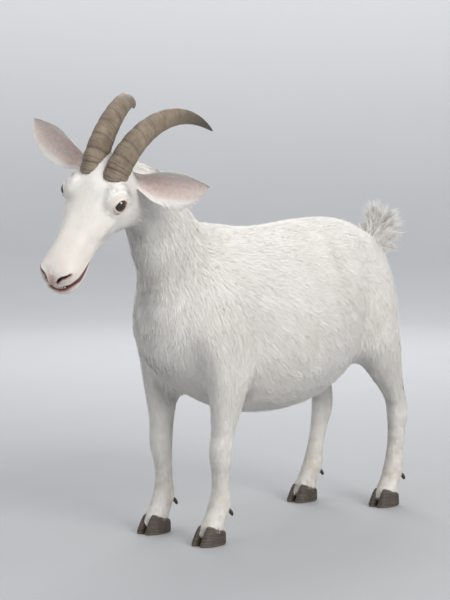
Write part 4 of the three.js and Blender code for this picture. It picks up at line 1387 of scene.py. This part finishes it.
def bend_with_hide(root, normal, way, length, rise):
    """How far each tip is raised, or lowered if less than 0, to keep its height above the hide."""
    bend = np.zeros(len(root))
    for i in np.flatnonzero(length > BEND_FROM):
        tip = Vector(root[i] + way[i] * length[i] + normal[i] * rise[i])
        nearest, outward, _, _ = hide_tree.find_nearest(tip)
        bend[i] = rise[i] - (tip - nearest).dot(outward)
    return np.clip(bend, -BEND_MOST * length, BEND_MOST * length)


def shortness(length):
    """How much the hide shows through hair of a length in metres, from 0 to 1."""
    return 1 - smoothstep(*SHORT_HAIR, length)


rng = np.random.default_rng(SEED)
points = read_points(skin.data)
_, hair_length = lie_and_length(points)
store(skin.data, "short", shortness(hair_length))
under_lids = np.zeros(len(points))
for centre in EYES.values():
    off = np.linalg.norm(points - np.array(centre), axis=1)
    under_lids = np.maximum(under_lids, 1 - smoothstep(*LID_COVER, off))
dock = labels[belongs] == "tail"
density = density_of(hair_length, skin_bare) * (1 - under_lids)
density = density * smoothstep(*FOOT_HAIR, points[:, 2]) * ~dock
roots, out, values, corner = scattered(skin.data, density, hair_length[:, None], rng)
free = ~inside_claws(roots)
roots, out, values, corner = roots[free], out[free], values[free], corner[free]
owner = labels[belongs[corner]]
for side, lid in lids.items():
    lid_bare = read_rows(lid.data.attributes["bare"].data, "value", 1)[:, 0]
    hair = np.full(len(lid_bare), LID_HAIR)
    grown = scattered(lid.data, density_of(hair, lid_bare), hair[:, None], rng)
    outward = ((grown[0] - np.array(EYES[side])) * grown[1]).sum(1) > 0
    roots, out, values = (np.vstack([a, b[outward]]) for a, b in zip((roots, out, values), grown))
    owner = np.concatenate([owner, np.full(outward.sum(), "head")])

# The coat is cut into pieces by the part that a tuft grows on, with the head in halves and the trunk in
# quarters.
groups = {}
for label in labels:
    mine = owner == label
    if label == "trunk":
        for side, half in (("left", roots[:, 0] > MIDDLE[0]), ("right", roots[:, 0] <= MIDDLE[0])):
            for end, part in (("fore", roots[:, 1] < MIDDLE[1]), ("hind", roots[:, 1] >= MIDDLE[1])):
                groups[f"{label}_{side}_{end}"] = (label, mine & half & part)
    elif label == "head":
        left = head_places(roots)[:, 0] > 0
        groups["head_left"] = (label, mine & left)
        groups["head_right"] = (label, mine & ~left)
    elif label != "tail":
        groups[label] = (label, mine)

for name, (label, mine) in groups.items():
    root, normal = roots[mine], out[mine]
    way, _ = lie_and_length(root)
    stray = WANDER * (swirl(root, 0.05, rng) + 0.7 * swirl(root, 0.014, rng)) + rng.normal(0, 0.1, len(root))
    way = unit(way - (way * normal).sum(1, keepdims=True) * normal)
    way = way * np.cos(stray)[:, None] + np.cross(normal, way) * np.sin(stray)[:, None]
    length = values[mine, 0] * rng.uniform(0.75, 1.2, len(root))
    rise = RISE * length * (0.3 + rng.random(len(root)) ** 3)
    width = tuft_width(length) * rng.uniform(0.8, 1.2, len(root))
    bend = bend_with_hide(root, normal, way, length, rise)
    short, place = shortness(values[mine, 0]), unwrapped(label, root)
    mesh = coat_mesh(f"coat_{name}", root, normal, way, length, width, rise, bend, short, place, rng)
    coat = add_object(f"coat_{name}", mesh, coat_finish)
    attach(coat, "root")

# Under the long hair of the body the hide needs fewer faces than on the head and the feet.
HIDE_KEPT = 0.61  # share of all faces that is left
FOOT_KEPT = 15  # below this height the foot keeps all of its own
points = read_points(skin.data)
_, forward, height = head_places(points).T
fine = (forward > -10) & (height > -58) | (body_places(points)[:, 2] < FOOT_KEPT)
coarse = skin.vertex_groups.new(name="coarse")
coarse.add(np.flatnonzero(~fine).tolist(), 1, "REPLACE")
thin = skin.modifiers.new("thin", "DECIMATE")
thin.ratio = HIDE_KEPT
thin.vertex_group = coarse.name
settled(skin)
skin.vertex_groups.clear()
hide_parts(*FLESH, *GROWN)
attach(skin, "root")

# ---- Tail ---------------------------------------------------------------------------------------
# The tail is short and held up. Its hair is the longest on the goat, and springs out from the dock
# in loose locks that part, bend over and end in soft points. It is bare underneath.

TAIL_ROWS = [  # share of the tail, locks round it, their length, how far round they fan, in degrees
    (0.10, 9, 8.6, 115),
    (0.26, 11, 10.4, 135),
    (0.44, 12, 10.8, 140),
    (0.62, 12, 10.4, 140),
    (0.80, 10, 9.6, 132),
    (0.94, 8, 8.6, 125),
    (1.0, 5, 7.4, 90),
]
LOCK_STRANDS = 34  # strands in a lock
STRAND_RINGS = 7  # rings of three points along a strand, the last of them one point
LOCK_SPREAD = (0.0040, 0.0062, 0.0036)  # of its strands, at the root, in the middle and at the tip
STRAND_HALF = 0.00055  # half a strand's width


def strand_faces():
    """The faces of one strand, a closed three-sided sliver. Its last points are its tip and its root."""
    sides = ((0, 1), (1, 2), (2, 0))
    last = 3 * (STRAND_RINGS - 2)
    faces = []
    for low in range(0, last, 3):
        for a, b in sides:
            faces += [(low + b, low + a, low + a + 3), (low + b, low + a + 3, low + b + 3)]
    faces += [(last + b, last + a, last + 3) for a, b in sides]
    return np.array(faces + [(a, b, last + 4) for a, b in sides])


def tail_hair(rng):
    """The points of each strand, and the places of their roots in the unwrapping."""
    line = MIDDLE + B * curve_through(TAIL_LINE, 60) * [1, -1, 1]
    points, place = [], []
    t = np.linspace(0, 1, STRAND_RINGS)[:, None]
    for share, locks, length, fan in TAIL_ROWS:
        k = min(int(share * 59), 58)
        along = unit(line[k + 1] - line[k])
        up = unit(np.array([0, 0, 1.0]) - along[2] * along)
        side = np.cross(up, along)
        for j in range(locks):
            angle = math.radians(fan * (2 * j / (locks - 1) - 1)) + rng.normal(0, 0.14)
            out = up * math.cos(angle) + side * math.sin(angle)
            reach = length * B * rng.uniform(0.8, 1.1)
            early = unit(out * rng.uniform(0.35, 0.5) + along * 0.6)
            late = unit(out * rng.uniform(0.55, 0.75) + along * rng.uniform(0.3, 0.5) + [0, 0.1, -0.12])
            curl = np.cross(along, out) * rng.normal(0, 0.16) * reach
            for strand in range(LOCK_STRANDS):
                root, middle, end = (rng.normal(0, spread, 3) for spread in LOCK_SPREAD)
                hair = reach * rng.uniform(0.7, 1.04)
                bend = early * hair * (t - 0.5 * t**2) + late * hair * 0.5 * t**2
                bend = bend + curl * t**2 * (1 - 0.4 * t) + line[k] + out * B * 1.2
                bend = bend + root * (1 - t) + middle * 2 * t * (1 - t) + end * t**2
                way = unit(np.gradient(bend, axis=0))
                left = unit(np.cross(way, out + 1e-3))
                high = np.cross(left, way)
                full = np.sin(np.pi * np.clip(t * 0.9 + 0.12, 0, 1)) ** 0.7
                taper = STRAND_HALF * (0.35 + 0.65 * full) * (1 - t**6)
                ring = [bend + left * taper, bend - left * taper, bend + high * taper * 0.8]
                tube = np.stack(ring, 1).reshape(-1, 3)[: (STRAND_RINGS - 1) * 3]
                points.append(np.vstack([tube, bend[-1], bend[0]]))
                place.append((0.5 + angle / 7 + rng.normal(0, 0.01), 0.05 + 0.9 * share))
    return np.array(points), np.clip(place, 0.01, 0.99)


strands, place = tail_hair(rng)
per = strands.shape[1]
faces = strand_faces() + per * np.arange(len(strands))[:, None, None]
mesh = solid_mesh("tail_hair", strands.reshape(-1, 3), faces.reshape(-1, 3).tolist())
share = np.append(np.repeat(np.linspace(0, 1, STRAND_RINGS)[:-1], 3), [1, 0])
# Through the coat's material this paints each strand darker towards its root, as painted shade.
store(mesh, "tip", np.tile(0.35 + 0.65 * share, len(strands)))
tone = 0.3 + 0.5 * rng.random(len(strands))
store(mesh, "tone", np.repeat(tone, per))
patch = place[:, None] + np.column_stack([np.zeros(per), share - 0.5]) * PATCH
layer = mesh.uv_layers.new(name="OFBake")
corner = read_rows(mesh.loops, "vertex_index", 1, np.int32)[:, 0]
layer.data.foreach_set("uv", patch.reshape(-1, 2)[corner].astype(np.float32).ravel())
tail_coat = add_object("coat_tail", mesh, coat_finish)
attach(tail_coat, "root")

# ---- Light, floor and camera --------------------------------------------------------------------
# A plain pale studio floor that sweeps up into a wall all round. A bright even sky and four broad
# soft lamps light the goat, the strongest of them from its left front.

FLOOR_FLAT, FLOOR_SWEEP, WALL_TOP = 4.0, 2.6, 3.6
FLOOR_GREY, FLOOR_PALE, WALL_PAINTED_LIGHT = (0.39, 0.395, 0.405), (0.41, 0.415, 0.42), (0.70, 0.705, 0.715)
SKY_COLOUR, SKY_STRENGTH = (0.95, 0.97, 1.0, 1), 0.92
CAMERA_TURN, CAMERA_RISE, CAMERA_AWAY = 42, 4.5, 3.4  # degrees from the front, degrees up, metres
VIEW_HEIGHT = 1.065  # of the picture, in metres at the goat
TARGET = Vector((-0.043, 0.012, 0.401))


def look_at(thing, eye, target):
    thing.location = eye
    thing.rotation_mode = "QUATERNION"
    thing.rotation_quaternion = (Vector(target) - Vector(eye)).to_track_quat("-Z", "Y")


camera_data = bpy.data.cameras.new("camera")
camera = add_object("camera", camera_data)
turn, rise = math.radians(CAMERA_TURN), math.radians(CAMERA_RISE)
BACK = Vector((math.sin(turn) * math.cos(rise), -math.cos(turn) * math.cos(rise), math.sin(rise)))
look_at(camera, TARGET + BACK * CAMERA_AWAY, TARGET)
camera_data.sensor_width = 36
camera_data.lens = camera_data.sensor_width * CAMERA_AWAY / VIEW_HEIGHT
bpy.context.scene.camera = camera

sweep = np.linspace(0, np.pi / 2, 24)
profile = [(0.001, 0), (FLOOR_FLAT / 2, 0)]
profile += [(FLOOR_FLAT + FLOOR_SWEEP * np.sin(a), FLOOR_SWEEP * (1 - np.cos(a))) for a in sweep]
profile += [(FLOOR_FLAT + FLOOR_SWEEP, WALL_TOP)]
FLOOR_AROUND = 96
floor_points = [(r * np.cos(a), r * np.sin(a), z) for r, z in profile for a in turns(FLOOR_AROUND)]
floor_mesh = solid_mesh("floor", np.array(floor_points), ring_faces(len(profile), FLOOR_AROUND))
floor_finish = Finish("floor", Roughness=0.9, Specular_IOR_Level=0.2)
grain = floor_finish.noise(3, floor_finish.place(), 2)
paper = floor_finish.mix(grain, FLOOR_GREY, FLOOR_PALE)
up = floor_finish.split(floor_finish.place())[2]
# The floor is painted paler as it sweeps up into the wall, as painted light that makes up for the weaker
# light falling on the wall.
floor_finish.paint("Base Color", floor_finish.mix(up.rise(0, 2.0), paper, WALL_PAINTED_LIGHT))
floor = add_object("floor", floor_mesh, floor_finish)

LAMPS = [  # each lamp's place, what it shines on, its power in watts, its size and its colour
    ("key", (3.6, -0.5, 2.2), (0, 0, 0.4), 104, 1.8, (1.0, 0.98, 0.95)),
    ("fill", (-0.6, -5.6, 2.4), (0, 0, 0.4), 40, 4.0, (0.97, 0.985, 1.0)),
    ("rim", (-2.2, 2.6, 2.6), (0, 0, 0.4), 66, 2.0, (1.0, 1.0, 1.0)),
    ("wall", (-1.6, 2.4, 3.4), (-4.4, 4.8, 0.9), 52, 2.6, (1.0, 1.0, 1.0)),
]
for name, eye, target, power, size, colour in LAMPS:
    lamp_data = bpy.data.lights.new(name, "AREA")
    lamp_data.energy = power
    lamp_data.size = size
    lamp_data.color = colour
    look_at(add_object(name, lamp_data), eye, target)
world = bpy.data.worlds.new("studio")
world.use_nodes = True
sky = world.node_tree.nodes["Background"]
sky.inputs["Color"].default_value = SKY_COLOUR
sky.inputs["Strength"].default_value = SKY_STRENGTH
bpy.context.scene.world = world
bpy.context.scene.view_settings.view_transform = "Standard"
